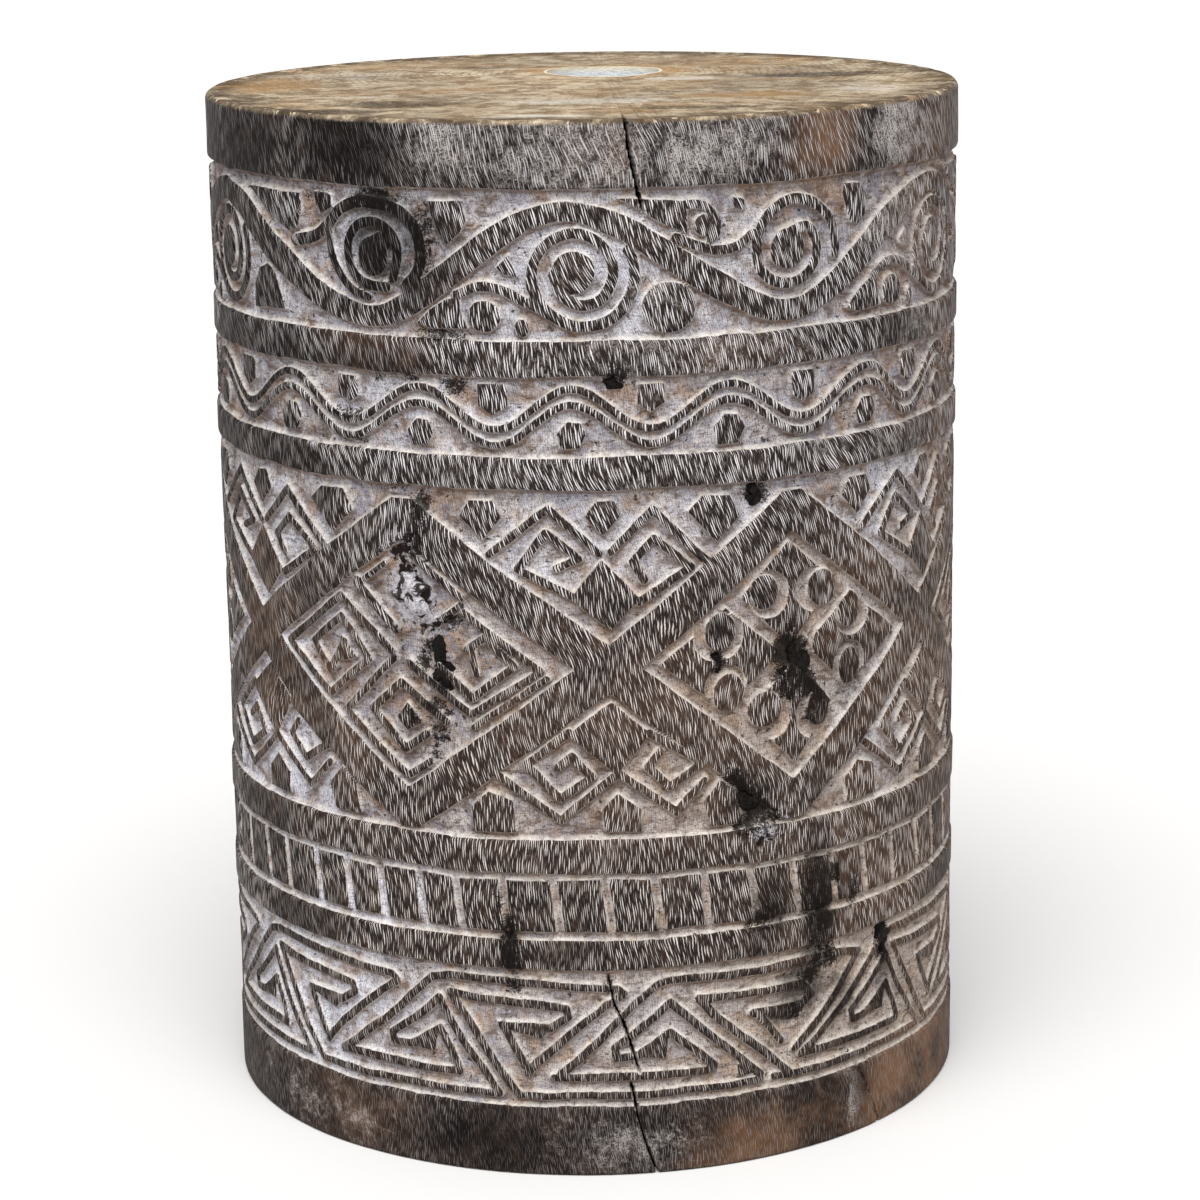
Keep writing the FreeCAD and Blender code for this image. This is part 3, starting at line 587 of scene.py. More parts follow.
def sawnDrop(flat):
    across, up = (flat[..., k] / (sawn["span"] * radius) + 0.5 for k in (0, 1))
    drop = sawn["drop"]
    for seed, cells, rise in sawn["marks"]:
        drop = drop + rise * unevenness(seed, across, up, (cells, cells))
    return drop


# The trunk's skin is one sheet: up the side, in across the seat, down the bore and out under the foot.
def trunkSkin():
    settled, sideU, sideZ = drawnOntoEdges()
    depth = carvedDepth(settled)
    openCracks(sideU, sideZ, depth)
    openVoids(sideU, sideZ, depth)
    turn = sideU / radius
    out = radius - depth
    for fromEnd, edge in ((height - sideZ, drum["seatEdge"]), (sideZ, drum["footEdge"])):
        near = np.clip(1 - fromEnd / edge, 0, 1)
        out = out - edge * (1 - np.sqrt(1 - near**2)) * (1 + drum["edgeRagged"] * sideUnevenness(9, 9))
    side = np.stack([out * np.sin(turn), -out * np.cos(turn), sideZ], axis=-1)

    compass = acrossU / radius
    heading = np.stack([np.sin(compass), -np.cos(compass)], axis=-1)
    pith = np.array([drum["boreX"], drum["boreY"]])
    mouth = pith + (drum["boreRadius"] + drum["mouthFlare"]) * heading
    inward = np.linspace(0, 1, sheet["seatRows"] + 1)[1:, None]
    seatFlat = side[-1, :, :2] * (1 - inward[..., None]) + mouth * inward[..., None]
    seatZ = height - sawnDrop(seatFlat) - drum["seatDish"] * np.sin(math.pi * inward)
    notch = np.abs(acrossU - cracks["routes"][0][0][0]) < cracks["notchHalf"] * sheet["pitch"]
    seatZ -= np.where(notch, cracks["notchDeep"], 0) * np.clip(1 - inward / cracks["notchRun"], 0, 1)
    seat = np.concatenate([seatFlat, seatZ[..., None]], axis=-1)

    fall = np.linspace(0, 1, sheet["boreRows"] + 1)[1:, None]
    runs = drum["flareRuns"]
    flare = np.clip(1 - fall * runs, 0, 1) ** 2 + np.clip(fall * runs - (runs - 1), 0, 1) ** 2
    wobble = drum["boreWobble"] * np.sin(5 * compass + 9 * fall) * np.sin(math.pi * fall)
    boreOut = drum["boreRadius"] + drum["mouthFlare"] * flare + wobble
    boreFlat = pith + boreOut[..., None] * heading
    bore = np.concatenate([boreFlat, (seatZ[-1] * (1 - fall))[..., None]], axis=-1)

    outward = np.linspace(0, 1, sheet["underRows"] + 1)[1:, None, None]
    underFlat = boreFlat[-1] * (1 - outward) + side[0, :, :2] * outward
    under = np.concatenate([underFlat, np.zeros(underFlat.shape[:2] + (1,))], axis=-1)
    skin = np.concatenate([side, seat, bore, under])
    return np.concatenate([skin, skin[:, :1]], axis=1)


# trunk colours that lie where the years left them: u, z, half-sizes and strength of each patch
stains = {
    "soot": [
        (70, 146, 12, 5, 1.0), (96, 118, 8, 8, 0.8), (98, 105, 9, 8, 0.9), (78, 117, 6, 6, 0.7),
        (70, 104, 8, 5, 0.8), (99, 94, 10, 5, 0.9), (103, 82, 8, 7, 0.8), (108, 117, 4, 5, 0.9),
        (119, 105, 4, 5, 0.8), (87, 62, 7, 5, 0.8), (94, 74, 8, 5, 0.8), (117, 39, 4, 8, 0.6),
        (139, 81, 5, 11, 1.0), (59, 166, 5, 4, 1.1), (65, 159, 5, 5, 1.2), (70, 152, 6, 6, 1.1),
        (64, 146, 5, 3, 1.0), (84.5, 215.5, 8, 8, 1.3), (90, 201, 10, 7, 1.3), (96, 188, 5, 5, 0.8),
        (52, 215, 3, 6, 1.0), (70, 282, 6, 5, 1.0), (157, 205, 4, 10, 0.6), (123, 172, 4, 8, 0.6),
        (-36, 104, 4, 9, 1.0), (-34, 92, 4, 8, 1.0), (-34, 82, 4, 4, 0.9), (-40, 116, 3, 7, 0.7),
        (-56, 231, 4, 5, 0.9), (-66, 222, 5, 4, 0.9), (-70, 215, 4, 4, 0.9), (-61, 208, 4, 6, 1.0),
        (-65, 198, 4, 3, 0.9), (-60, 195, 4, 3, 0.8), (-64, 186, 5, 5, 0.9), (-66, 178, 3, 4, 0.7),
        (-76, 192, 4, 4, 0.9), (-132, 240, 3, 7, 0.7), (-72, 261, 4, 3, 0.9), (-69, 279, 5, 8, 0.8),
        (-112, 252, 4, 9, 0.7), (-78, 286, 6, 4, 0.6), (11, 332, 6, 4, 0.9), (-54, 328, 6, 5, 1.0),
        (-74, 331, 6, 3, 0.7), (-86, 330, 5, 3, 0.6), (-104, 314, 9, 3, 0.8), (-96, 304, 5, 3, 0.5),
        (-118, 401, 9, 5, 0.7), (-88, 400, 13, 5, 0.9), (-66, 384, 5, 15, 0.8), (-150, 384, 8, 6, 0.5),
        (-76, 370, 6, 5, 0.4), (-60, 348, 14, 3, 0.7), (-240, 120, 14, 20, 0.8), (330, 230, 12, 18, 0.8),
        (420, 90, 16, 12, 0.8), (-380, 300, 12, 8, 0.8), (480, 380, 14, 10, 0.6), (80, 205, 4, 5, 0.9),
        (99, 195, 5, 5, 0.9),
    ],
    "smoke": [
        (76, 112, 9, 16, 1.0), (99, 102, 10, 28, 1.1), (92, 72, 14, 13, 1.0), (112, 64, 12, 14, 0.7),
        (140, 66, 6, 16, 0.9), (82, 62, 12, 6, 0.8), (123, 22, 9, 12, 0.8), (118, 205, 12, 22, 0.6),
        (92, 205, 14, 20, 0.5), (100, 160, 12, 16, 0.6), (-63, 200, 8, 34, 0.4), (-70, 255, 14, 10, 0.4),
        (64, 158, 14, 14, 0.7), (-35, 98, 8, 20, 0.7), (-80, 385, 26, 20, 0.9), (-50, 12, 30, 14, 0.6),
        (-165, 415, 50, 16, 0.7), (-100, 420, 26, 14, 0.9), (-240, 120, 30, 40, 0.7),
        (420, 100, 40, 30, 0.7), (330, 235, 24, 30, 0.7), (-80, 212, 56, 56, 0.4),
    ],
    "chalk": [
        (-56, 424, 14, 9, 0.8), (-45, 412, 8, 7, 0.4), (40, 420, 26, 9, 0.9), (68, 424, 18, 7, 0.8),
        (56, 411, 18, 5, 0.6), (146, 420, 15, 13, 1.1), (170, 416, 10, 10, 0.6), (-8, 423, 20, 6, 0.5),
        (118, 17, 6, 12, 0.8), (15, 12, 30, 10, 0.6), (-150, 14, 30, 12, 0.45), (-110, 12, 24, 10, 0.35),
        (300, 418, 60, 12, 0.7), (-330, 416, 50, 12, 0.6), (460, 415, 40, 10, 0.5),
        (250, 15, 50, 10, 0.4), (165, 338, 25, 8, 0.5), (30, 338, 70, 9, 0.35), (0, 293, 80, 9, 0.25),
        (0, 418, 70, 16, 0.55), (26, 364, 12, 9, 0.45), (150, 292, 30, 8, 0.4), (100, 297, 20, 6, 0.4),
        (150, 380, 30, 20, 0.5),
    ],
    "warm": [
        (165, 14, 44, 24, 1.4), (64, 8, 26, 10, 1.3), (110, 14, 30, 12, 0.8), (102, 419, 16, 14, 0.9),
        (8, 420, 12, 8, 0.5), (-120, 14, 30, 12, 0.7), (210, 200, 60, 260, 0.6),
        (130, 200, 40, 70, 0.35), (-130, 195, 34, 42, 0.4), (-90, 340, 26, 8, 0.5),
        (60, 340, 20, 7, 0.4), (-165, 215, 20, 60, 0.6), (130, 95, 60, 50, 0.35), (20, 180, 70, 40, 0.2),
        (175, 390, 30, 30, 0.6), (380, 120, 90, 90, 0.6), (-400, 330, 80, 60, 0.6),
        (480, 300, 60, 80, 0.5),
    ],
    "crust": [
        (-76, 242, 15, 15, 0.75), (-82, 262, 14, 6, 0.6), (-66, 232, 9, 8, 0.6), (400, 240, 14, 14, 0.8),
        (73, 142, 8, 4, 0.8), (81, 147, 5, 3, 0.6),
    ],
    "stained": [
        (-105, 418, 34, 18, 1.1), (-165, 418, 40, 18, 0.8), (-20, 407, 50, 3, 0.5),
        (100, 408, 60, 4, 0.5), (-45, 14, 34, 14, 1.0), (30, 18, 46, 12, 0.6), (100, 14, 22, 18, 0.8),
        (-120, 14, 50, 18, 0.6), (-140, 338, 60, 9, 0.9), (145, 338, 40, 9, 0.7),
        (-150, 293, 50, 8, 0.8), (150, 293, 40, 8, 0.6), (-150, 95, 50, 9, 0.6), (-150, 136, 40, 9, 0.6),
        (0, 115, 90, 14, 0.3), (-180, 300, 60, 170, 0.7), (-170, 160, 50, 120, 0.5),
        (200, 215, 50, 200, 0.4), (128, 420, 12, 14, 0.5), (0, 95, 90, 8, 0.3), (-95, 380, 40, 26, 1.0),
        (125, 60, 30, 34, 0.7), (95, 110, 30, 20, 0.6), (-70, 215, 14, 40, 0.5), (110, 205, 26, 40, 0.5),
        (-92, 338, 40, 9, 0.8), (98, 240, 7, 7, 0.9), (115, 229, 6, 7, 0.9), (114, 204, 6, 6, 0.9),
        (73, 240, 6, 6, 0.6), (53, 228, 6, 6, 0.7), (98, 190, 6, 7, 0.9), (73, 192, 7, 7, 0.5),
    ],
    "fresh": [
        (-168, 180, 50, 60, 1.3), (-150, 60, 60, 40, 1.3), (-120, 115, 50, 18, 1.2),
        (10, 370, 60, 30, 0.9), (-55, 318, 60, 14, 0.8), (-140, 365, 60, 40, 0.5),
        (-88, 385, 30, 20, 0.9), (90, 345, 60, 40, 0.3), (400, 220, 120, 160, 0.6),
        (-330, 200, 90, 150, 0.8), (-160, 250, 40, 40, 0.8), (10, 65, 50, 14, 0.2),
        (60, 316, 40, 12, 0.4), (142, 262, 34, 28, 0.8), (142, 180, 30, 34, 0.6), (30, 275, 60, 10, 0.6),
        (-10, 262, 50, 16, 0.6),
    ],
}


def stainMesh(mesh):
    x, y, z = 1000 * corners(mesh).T
    u = radius * np.arctan2(x, -y)
    for name, patches in stains.items():
        strength = np.zeros(len(u))
        for middleU, middleZ, halfU, halfZ, most in patches:
            away = np.mod(u - middleU + girth / 2, girth) - girth / 2
            reach = np.hypot(away / halfU, (z - middleZ) / halfZ)
            strength = np.maximum(strength, most * np.clip(1.5 - reach, 0, 1))
        mesh.attributes.new(name, "FLOAT", "POINT").data.foreach_set("value", strength.astype(np.float32))


def standAlone(piece, node, slot):
    piece.data.materials.clear()
    piece.data.materials.append(finishes[slot])
    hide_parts(node)
    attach(piece, "root")


def makeTrunk():
    skin = trunkSkin() / 1000
    up, around = skin.shape[0] - 1, skin.shape[1] - 1
    bpy.ops.object.select_all(action="DESELECT")
    bpy.ops.mesh.primitive_grid_add(x_subdivisions=around, y_subdivisions=up, size=1)
    trunk = bpy.context.object
    trunk.name = "carvedTrunk"
    flat = corners(trunk.data) + 0.5
    column = np.rint(flat[:, 0] * around).astype(int)
    row = np.rint(flat[:, 1] * up).astype(int)
    placeCorners(trunk.data, skin[row, column])
    bpy.ops.object.mode_set(mode="EDIT")
    bpy.ops.mesh.select_all(action="SELECT")
    bpy.ops.mesh.remove_doubles(threshold=0.00001)
    bpy.ops.mesh.quads_convert_to_tris()
    bpy.ops.object.mode_set(mode="OBJECT")
    print("trunk skin:", len(trunk.data.polygons), "triangles before thinning")
    thin = trunk.modifiers.new("thin", "DECIMATE")
    thin.ratio = min(1, drum["triangles"] / len(trunk.data.polygons))
    bpy.ops.object.modifier_apply(modifier=thin.name)
    bpy.ops.object.shade_smooth_by_angle(angle=math.radians(drum["smoothTo"]))
    stainMesh(trunk.data)
    standAlone(trunk, "trunk", "carved_wood")
    print("trunk:", len(trunk.data.polygons), "triangles")


def makeFill(node, form):
    bpy.ops.object.select_all(action="DESELECT")
    rings, segments = fillLook["rings"], fillLook["segments"]
    bpy.ops.mesh.primitive_uv_sphere_add(segments=segments, ring_count=rings, radius=1)
    fill = bpy.context.object
    fill.name = node.replace("_fill", "Fill").replace("_", "-")
    ballX, ballY, ballZ = corners(fill.data).T
    turn = np.arctan2(ballY, ballX)
    wide = fillRim(form, turn) * np.hypot(ballX, ballY) ** fillLook["shoulder"]
    u = form["u"] + form["halfU"] * wide * np.cos(turn)
    z = form["z"] + form["halfZ"] * wide * np.sin(turn)
    top = fillDepth(form, u, z)
    under = top + np.maximum(fillLook["seat"] - top, 0.2) * np.clip(-ballZ, 0, 1) ** fillLook["wall"]
    out = radius - np.where(ballZ >= 0, top, under)
    spots = np.stack([out * np.sin(u / radius), -out * np.cos(u / radius), z], axis=-1)
    placeCorners(fill.data, spots / 1000)
    bpy.ops.object.mode_set(mode="EDIT")
    bpy.ops.mesh.select_all(action="SELECT")
    bpy.ops.mesh.normals_make_consistent(inside=False)
    bpy.ops.object.mode_set(mode="OBJECT")
    bpy.ops.object.shade_smooth()
    standAlone(fill, node, "lime" if node.startswith("lime") else "pitch")


# Materials. Nodes go into the finish that was begun last, and a socket or a plain value into each input.
bench = {}


def beginFinish(name):
    finish = bpy.data.materials.new(name)
    finish.use_nodes = True
    bench["tree"] = finish.node_tree
    return finish


def feed(node, inputs):
    for socket, value in inputs.items():
        if isinstance(value, bpy.types.NodeSocket):
            bench["tree"].links.new(value, node.inputs[socket])
        else:
            node.inputs[socket].default_value = value


def addNode(kind, inputs, **settings):
    made = bench["tree"].nodes.new("ShaderNode" + kind)
    for name, value in settings.items():
        setattr(made, name, value)
    feed(made, inputs)
    return made


def reckon(how, *values):
    return addNode("Math", dict(enumerate(values)), operation=how).outputs[0]


def plus(one, other):
    return reckon("ADD", one, other)


def minus(one, other):
    return reckon("SUBTRACT", one, other)


def times(value, *factors):
    for factor in factors:
        value = reckon("MULTIPLY", value, factor)
    return value


def timesPlus(value, factor, added):
    return reckon("MULTIPLY_ADD", value, factor, added)


def larger(one, other):
    return reckon("MAXIMUM", one, other)


def vector(how, *values):
    return addNode("VectorMath", dict(enumerate(values)), operation=how).outputs[0]


def length(value):
    return addNode("VectorMath", {0: value}, operation="LENGTH").outputs["Value"]


def fade(value, start, end):
    spread = {"Value": value, "From Min": start, "From Max": end}
    return addNode("MapRange", spread, interpolation_type="SMOOTHSTEP").outputs[0]


def layer(share, under, over):
    return addNode("Mix", {0: share, 6: under, 7: over}, data_type="RGBA").outputs[2]


def between(share, low, high):
    return addNode("Mix", {0: share, 2: low, 3: high}, data_type="FLOAT").outputs[0]


def cloud(place, grain, detail=3.0, rough=0.55, twist=0.0):
    inputs = {"Vector": place, "Scale": 1 / grain, "Detail": detail, "Roughness": rough, "Distortion": twist}
    return addNode("TexNoise", inputs).outputs[0]


def stainAmount(name):
    return addNode("Attribute", {}, attribute_name=name).outputs["Fac"]


# Object coordinates in millimetres
def millimetres():
    place = vector("SCALE", addNode("TexCoord", {}).outputs["Object"])
    place.node.inputs["Scale"].default_value = 1000
    return place


# what a finish comes to, with its small relief, on its shader
def onShader(inputs, relief, strength, distance):
    bump = addNode("Bump", {"Strength": strength, "Distance": distance, "Height": relief})
    feed(bench["tree"].nodes["Principled BSDF"], {**inputs, "Normal": bump.outputs[0]})


def colour(*rgb):
    return tuple(((c / 255 + 0.055) / 1.055) ** 2.4 if c > 10 else c / 255 / 12.92 for c in rgb) + (1,)


woodLook = {
    "grainLean": 0.09,               # millimetres round the drum for each millimetre up
    "upperLean": 0.17,               # and as much more in the upper half
    "grainStray": 26.0,
    "pores": {"apart": 0.95, "long": 10.5, "least": 0.09, "most": 0.23},
    "hairs": {"apart": 0.74, "long": 5.0, "least": 0.02, "most": 0.3},
    "black": colour(36, 30, 29), "brown": colour(56, 43, 36), "tanned": colour(114, 84, 62),
    "burnt": colour(18, 15, 14), "pore": colour(214, 210, 211), "poreDull": colour(146, 137, 132),
    "poreLow": colour(203, 193, 187), "haze": colour(186, 180, 177),
    "wash": colour(154, 151, 160), "washCream": colour(197, 190, 187), "washFresh": colour(219, 219, 228),
    "washTan": colour(162, 136, 116), "washGrey": colour(118, 114, 125), "washWarm": colour(190, 172, 154),
    "grit": colour(70, 60, 57), "smudge": colour(92, 75, 64), "speck": colour(36, 29, 27),
    # arris cream is worn whitewash on the walls and also a painted highlight on walls that face up; the brown
    # after it is for the deepest part of the cut and also painted shade on walls that face down
    "arris": colour(218, 212, 203), "dirt": colour(92, 70, 54), "crust": colour(176, 173, 178),
    # the near-black on the next line is painted shade for the inside of the open cracks
    "soot": colour(20, 17, 16), "crack": colour(12, 9, 8),
    "seat": colour(135, 116, 92), "seatPale": colour(198, 182, 156), "seatOchre": colour(158, 124, 84),
    "seatChalk": colour(206, 199, 186), "seatDark": colour(58, 47, 38),
    "rim": colour(210, 202, 182), "bore": colour(203, 207, 209), "boreDull": colour(190, 192, 190),
    "shine": 0.03,
}

# patches on the sawn seat: x, y, half-sizes and strength
seatMarks = {
    "seatOchre": [
        (67, -58, 34, 14, 0.9), (-135, 12, 26, 40, 0.8), (12, 58, 46, 34, 0.8), (70, 95, 50, 30, 0.6),
        (-60, -24, 34, 16, 0.6), (-70, 95, 40, 30, 0.5), (20, -120, 30, 14, 0.5),
    ],
    "seatChalk": [
        (44, 18, 18, 8, 1.0), (4, -78, 42, 14, 0.7), (-104, 56, 34, 22, 0.5), (118, -40, 20, 26, 0.6),
        (-20, -138, 26, 6, 0.9), (-90, -50, 22, 14, 0.5),
    ],
    "seatDark": [
        (107, 28, 34, 13, 1.0), (-74, -80, 30, 16, 0.9), (52, -112, 34, 8, 0.8), (-36, 84, 24, 14, 0.6),
        (-104, -108, 30, 10, 0.8), (90, -104, 24, 10, 0.6), (-132, -60, 10, 30, 0.6),
    ],
}


# slits along the grain, side by side in narrow lanes, each of its own length, width and place by chance
def slits(leaning, up, size, swell):
    lane = reckon("DIVIDE", leaning, size["apart"])
    laneAt = reckon("FLOOR", lane)
    start = addNode("TexWhiteNoise", {"W": laneAt}, noise_dimensions="1D").outputs["Value"]
    run = timesPlus(start, 9.0, reckon("DIVIDE", up, size["long"]))
    spot = addNode("CombineXYZ", {0: laneAt, 1: reckon("FLOOR", run)}).outputs[0]
    tossed = addNode("TexWhiteNoise", {"Vector": spot}, noise_dimensions="2D").outputs["Color"]
    width, reach, aside = addNode("SeparateXYZ", {0: tossed}).outputs
    across = timesPlus(minus(aside, 0.5), 0.3, minus(reckon("FRACT", lane), 0.5))
    along = timesPlus(reckon("FRACT", run), 2.0, -1.0)
    along = reckon("DIVIDE", along, timesPlus(reach, 0.6, 0.38))
    taper = minus(1.0, times(along, along))
    half = times(timesPlus(width, size["most"] - size["least"], size["least"]), taper, swell)
    return fade(minus(reckon("ABSOLUTE", across), half), 0.06, -0.06), reach


def seatMark(place, stir, name):
    strength = 0.0
    for x, y, halfX, halfY, share in seatMarks[name]:
        away = vector("MULTIPLY", vector("SUBTRACT", place, (x, y, 0)), (1 / halfX, 1 / halfY, 0))
        strength = larger(strength, times(fade(length(away), 1.5, 0.4), share))
    return fade(plus(strength, stir), 0.3, 0.85)


# the wood's colours over what is there, in turn, each as strong as its shares together
def coats(under, *recipe):
    for name, *shares in recipe:
        under = layer(times(*shares), under, woodLook[name])
    return under


def carvedWood():
    look = woodLook
    finish = beginFinish("carvedWood")
    place = millimetres()
    x, y, z = addNode("SeparateXYZ", {0: place}).outputs
    flat = addNode("CombineXYZ", {0: x, 1: y}).outputs[0]
    out = length(flat)
    depth = minus(radius, out)
    fromPith = vector("SUBTRACT", flat, (drum["boreX"], drum["boreY"], 0))
    boreOut = length(fromPith)

    broad = cloud(place, 34, 3)
    patchy = cloud(place, 9, 4, 0.6, 0.4)
    blotch = cloud(place, 15, 5, 0.65, 0.8)
    smear = cloud(place, 6, 5, 0.68, 1.0)
    fine = cloud(place, 2.2, 3, 0.6)
    dust = cloud(place, 0.7, 2, 0.6)

    # open pores run up the trunk with a lean
    turn = reckon("ARCTAN2", x, times(y, -1.0))
    leaning = timesPlus(turn, radius, times(z, look["grainLean"]))
    leaning = timesPlus(larger(z, height / 2), look["upperLean"], leaning)
    leaning = timesPlus(cloud(place, 70, 2), look["grainStray"], leaning)
    leaning = timesPlus(fine, 0.6, leaning)
    low = fade(z, 300, 200)
    pore, pale = slits(leaning, z, look["pores"], between(low, 1.42, 1.12))
    hair = slits(leaning, z, look["hairs"], 1.0)[0]
    inKeys = fade(z, bands["key"]["high"], bands["key"]["high"] - 1)
    plain = timesPlus(fade(z, 402, 407), 0.6, fade(z, 32, 28))
    rightward = times(fade(turn, -0.6, 0.6), low)

    stir = timesPlus(minus(patchy, 0.5), 1.5, times(minus(fine, 0.5), 1.3))
    crumbs = timesPlus(minus(dust, 0.5), 1.4, stir)
    soot = times(fade(plus(crumbs, stainAmount("soot")), 0.4, 0.85), 0.92)
    smoke = fade(timesPlus(stir, 0.6, stainAmount("smoke")), 0.25, 0.95)
    chalk = fade(plus(stir, stainAmount("chalk")), 0.15, 1.0)
    warm = times(stainAmount("warm"), fade(broad, 0.25, 0.6))
    fresh = times(stainAmount("fresh"), fade(blotch, 0.72, 0.4))
    stained = stainAmount("stained")

    # dark stained tops with pale pores
    top = layer(fade(timesPlus(low, 0.06, patchy), 0.45, 0.75), look["black"], look["brown"])
    top = coats(top,
                ("tanned", warm, 0.85),
                ("burnt", stained, fade(patchy, 0.75, 0.35)),
                ("poreDull", hair, between(stained, 0.36, 0.1)))
    poreColour = layer(fade(pale, 0.0, 0.55), look["poreDull"], look["pore"])
    poreColour = coats(poreColour, ("poreLow", low, 0.8))
    limed = fade(timesPlus(stained, -0.5, broad), 0.12, 0.42)
    shown = times(pore, between(limed, 0.3, 1.0), between(plain, 1.0, 0.35), between(inKeys, 1.0, 0.6))
    top = layer(shown, top, poreColour)
    top = coats(top, ("haze", chalk, larger(fade(dust, 0.35, 0.65), pore), 0.85))

    # limewashed floors, mottled and gritty
    strokes = cloud(vector("MULTIPLY", place, (1, 1, 2.4)), 8, 5, 0.68, 0.8)
    scores = cloud(vector("MULTIPLY", place, (1, 1, 5.0)), 5, 3, 0.6, 0.6)
    floor = layer(fade(patchy, 0.38, 0.62), look["wash"], look["washCream"])
    floor = coats(floor,
                  ("washTan", fade(blotch, 0.46, 0.62), 0.85),
                  ("washGrey", fade(cloud(place, 5, 4, 0.6), 0.48, 0.68), 0.7),
                  ("washTan", warm, 0.6),
                  ("washWarm", rightward, 0.5),
                  ("washFresh", reckon("MINIMUM", fresh, 0.9)),
                  ("smudge", fade(strokes, 0.5, 0.66), between(fresh, 0.8, 0.35)),
                  ("grit", fade(scores, 0.56, 0.7), 0.6),
                  ("grit", fade(dust, 0.45, 0.7), 0.55),
                  ("grit", larger(hair, pore), 0.4),
                  ("speck", fade(fine, 0.62, 0.68), 0.85))

    # they meet at a ragged line down the cut, with worn arrises by it and browner where the cut is deepest
    ragged = timesPlus(minus(fine, 0.5), 0.9, depth)
    sunk = fade(ragged, 1.25, 1.7)
    side = layer(sunk, top, floor)
    worn = times(fade(ragged, 1.25, 1.6), fade(ragged, 2.8, 1.9), fade(cloud(place, 6, 3), 0.42, 0.66))
    facing = addNode("SeparateXYZ", {0: addNode("NewGeometry", {}).outputs["Normal"]}).outputs[2]
    side = coats(side,
                 ("arris", worn, 0.5),
                 ("dirt", fade(ragged, 2.4, 3.1), fade(cloud(place, 7, 4), 0.5, 0.68), 0.6),
                 # painted highlight: cream on walls that face up, standing for light from above
                 ("arris", fade(facing, 0.12, 0.7), fade(smear, 0.62, 0.42), sunk, 0.5),
                 # painted shade: brown on walls that face down
                 ("dirt", fade(facing, -0.12, -0.6), sunk, 0.6))
    crusted = fade(plus(stir, stainAmount("crust")), 0.45, 0.7)
    side = layer(crusted, side, layer(fade(patchy, 0.5, 0.56), look["crust"], look["speck"]))
    side = coats(side, ("soot", smoke, 0.72), ("soot", soot))

    # sawn seat and foot, limed bore, open cracks with painted shade deep inside
    rings = reckon("SINE", timesPlus(boreOut, 1.9, times(broad, 22)))
    rays = cloud(vector("MULTIPLY", vector("NORMALIZE", fromPith), (150, 150, 0)), 2.6, 4, 0.7)
    seat = layer(fade(cloud(place, 11, 6, 0.72, 0.3), 0.4, 0.6), look["seat"], look["seatPale"])
    seat = coats(seat,
                 ("seatOchre", fade(broad, 0.42, 0.66), 0.4),
                 ("seatDark", fade(rings, 0.2, 1.0), 0.3),
                 ("seatDark", fade(rays, 0.52, 0.68), 0.4),
                 *[(name, seatMark(place, stir, name), 0.75) for name in seatMarks],
                 ("seatChalk", fade(fine, 0.56, 0.66), 0.4),
                 ("seatDark", fade(out, radius - 24, radius - 4), fade(blotch, 0.34, 0.54), 0.8),
                 ("seatPale", fade(out, radius - 4, radius - 2), fade(smear, 0.56, 0.66)),
                 ("seatDark", fade(dust, 0.55, 0.68), 0.6))
    isSeat = fade(timesPlus(fine, 1.6, z), height - 1.8, height)
    skin = layer(larger(isSeat, fade(z, 0.6, 0.1)), side, seat)
    mouth = drum["boreRadius"] + drum["mouthFlare"]
    skin = coats(skin, ("rim", fade(boreOut, mouth + 1.6, mouth + 0.4)))
    lime = layer(fade(patchy, 0.5, 0.8), look["bore"], look["boreDull"])
    skin = layer(fade(boreOut, mouth - 0.1, mouth - 0.5), skin, lime)
    outside = times(fade(boreOut, mouth + 3, mouth + 5), fade(z, height, height - 3))
    # painted shade: deep in the open cracks the skin is coloured near-black
    skin = coats(skin, ("crack", fade(depth, 4.9, 5.8), outside))

    rough = between(sunk, between(shown, 0.55, 0.8), 0.9)
    rough = between(soot, rough, 0.5)
    rasped = times(between(sunk, 0.5, 1.0), plus(fine, dust))
    rasped = timesPlus(times(scores, sunk), -1.0, rasped)
    relief = timesPlus(times(pore, minus(1.0, sunk)), -0.6, rasped)
    onShader({"Base Color": skin, "Roughness": rough, "Specular IOR Level": look["shine"]},
             relief, 0.7, 0.0007)
    return finish


pitchLook = {
    "black": colour(13, 11, 10), "worn": colour(34, 28, 24), "dusty": colour(96, 84, 74), "shine": 0.1,
}


def pitchBlack():
    look = pitchLook
    finish = beginFinish("pitch")
    place = millimetres()
    patchy = cloud(place, 4, 4, 0.6)
    dust = cloud(place, 0.9, 3, 0.6)
    tar = layer(fade(patchy, 0.4, 0.7), look["black"], look["worn"])
    tar = layer(times(fade(dust, 0.62, 0.72), 0.4), tar, look["dusty"])
    rough = between(patchy, 0.4, 0.75)
    relief = timesPlus(patchy, 1.0, times(dust, 0.5))
    onShader({"Base Color": tar, "Roughness": rough, "Specular IOR Level": look["shine"]},
             relief, 1.0, 0.003)
    return finish


limeLook = {
    "dull": colour(140, 135, 138), "pale": colour(190, 188, 194), "hole": colour(30, 24, 21), "rough": 0.85,
}


def limeCrust():
    look = limeLook
    finish = beginFinish("lime")
    place = millimetres()
    patchy = cloud(place, 5, 5, 0.62, 0.6)
    crust = layer(fade(cloud(place, 1.2, 3, 0.6), 0.35, 0.65), look["dull"], look["pale"])
    crust = layer(fade(patchy, 0.5, 0.55), crust, look["hole"])
    onShader({"Base Color": crust, "Roughness": look["rough"]}, patchy, 0.9, 0.0016)
    return finish


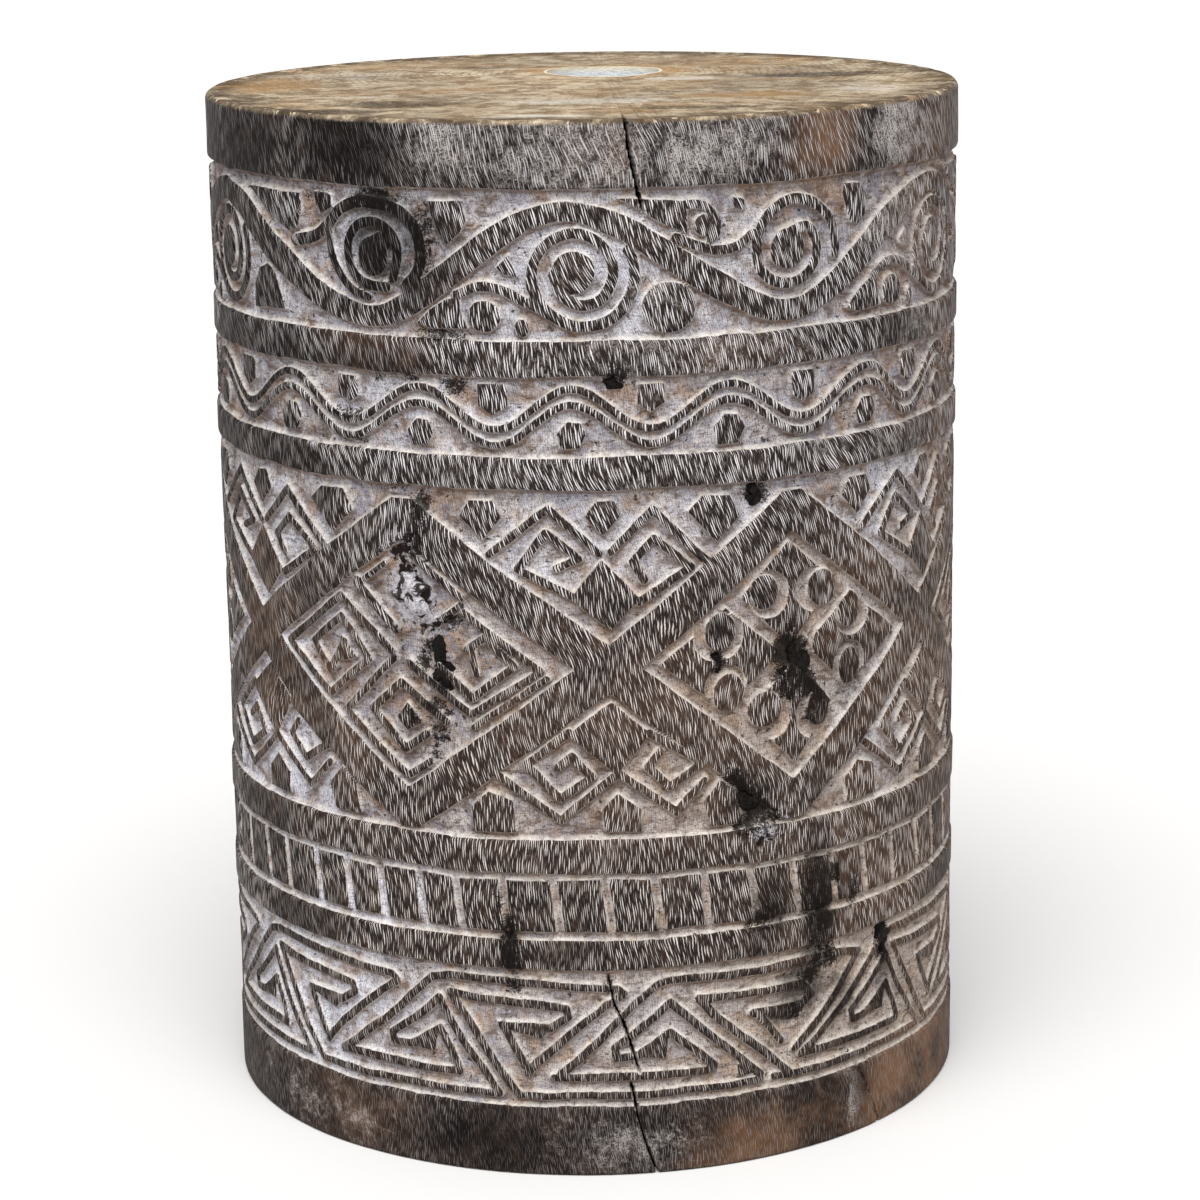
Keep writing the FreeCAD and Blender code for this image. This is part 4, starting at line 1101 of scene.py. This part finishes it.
finishes = {"pitch": pitchBlack(), "lime": limeCrust(), "carved_wood": carvedWood()}
print("finishes:", ", ".join(finishes))
makeTrunk()
for node, form in fills.items():
    makeFill(node, form)
print("fills:", len(fills))

# Camera as the photograph was taken, pale floor and soft light from above.
studio = {
    "cameraAt": (0.0, -1.4946, 0.5669), "pitch": 13.624, "yaw": 0.171, "roll": -0.880, "lens": 104.52,
    "floorSize": 60.0, "floorPale": (0.62, 0.615, 0.61, 1), "sky": (0.98, 0.99, 1.0, 1), "skyStrength": 0.55,
    "sunHigh": 62, "sunLeft": 6, "sunSpread": 50, "sunPower": 4.3, "sunTint": (1, 0.99, 0.98),
}


def setStudio():
    bpy.ops.object.select_all(action="DESELECT")
    bpy.ops.mesh.primitive_plane_add(size=studio["floorSize"])
    floor = bpy.context.object
    floor.name = "floor"
    paper = beginFinish("floorPaper")
    feed(paper.node_tree.nodes["Principled BSDF"], {"Base Color": studio["floorPale"], "Roughness": 0.9})
    floor.data.materials.append(paper)
    bpy.ops.object.light_add(type="SUN", location=(0, 0, 2))
    sun = bpy.context.object
    sun.name = "softSun"
    high, left = math.radians(studio["sunHigh"]), math.radians(studio["sunLeft"])
    toSun = Vector((-math.cos(high) * math.sin(left), -math.cos(high) * math.cos(left), math.sin(high)))
    sun.rotation_euler = toSun.to_track_quat("Z", "Y").to_euler()
    sun.data.energy = studio["sunPower"]
    sun.data.angle = math.radians(studio["sunSpread"])
    sun.data.color = studio["sunTint"]
    world = bpy.data.worlds.new("studioSky")
    world.use_nodes = True
    feed(world.node_tree.nodes["Background"], {"Color": studio["sky"], "Strength": studio["skyStrength"]})
    bpy.context.scene.world = world
    bpy.ops.object.camera_add()
    camera = bpy.context.object
    pitch, yaw, roll = (math.radians(studio[name]) for name in ("pitch", "yaw", "roll"))
    camera.matrix_world = (Matrix.Translation(studio["cameraAt"]) @ Matrix.Rotation(-yaw, 4, "Z")
                           @ Matrix.Rotation(math.pi / 2 - pitch, 4, "X") @ Matrix.Rotation(roll, 4, "Z"))
    camera.data.lens = studio["lens"]
    bpy.context.scene.camera = camera
    bpy.context.scene.view_settings.view_transform = "Standard"


setStudio()
print("studio set")
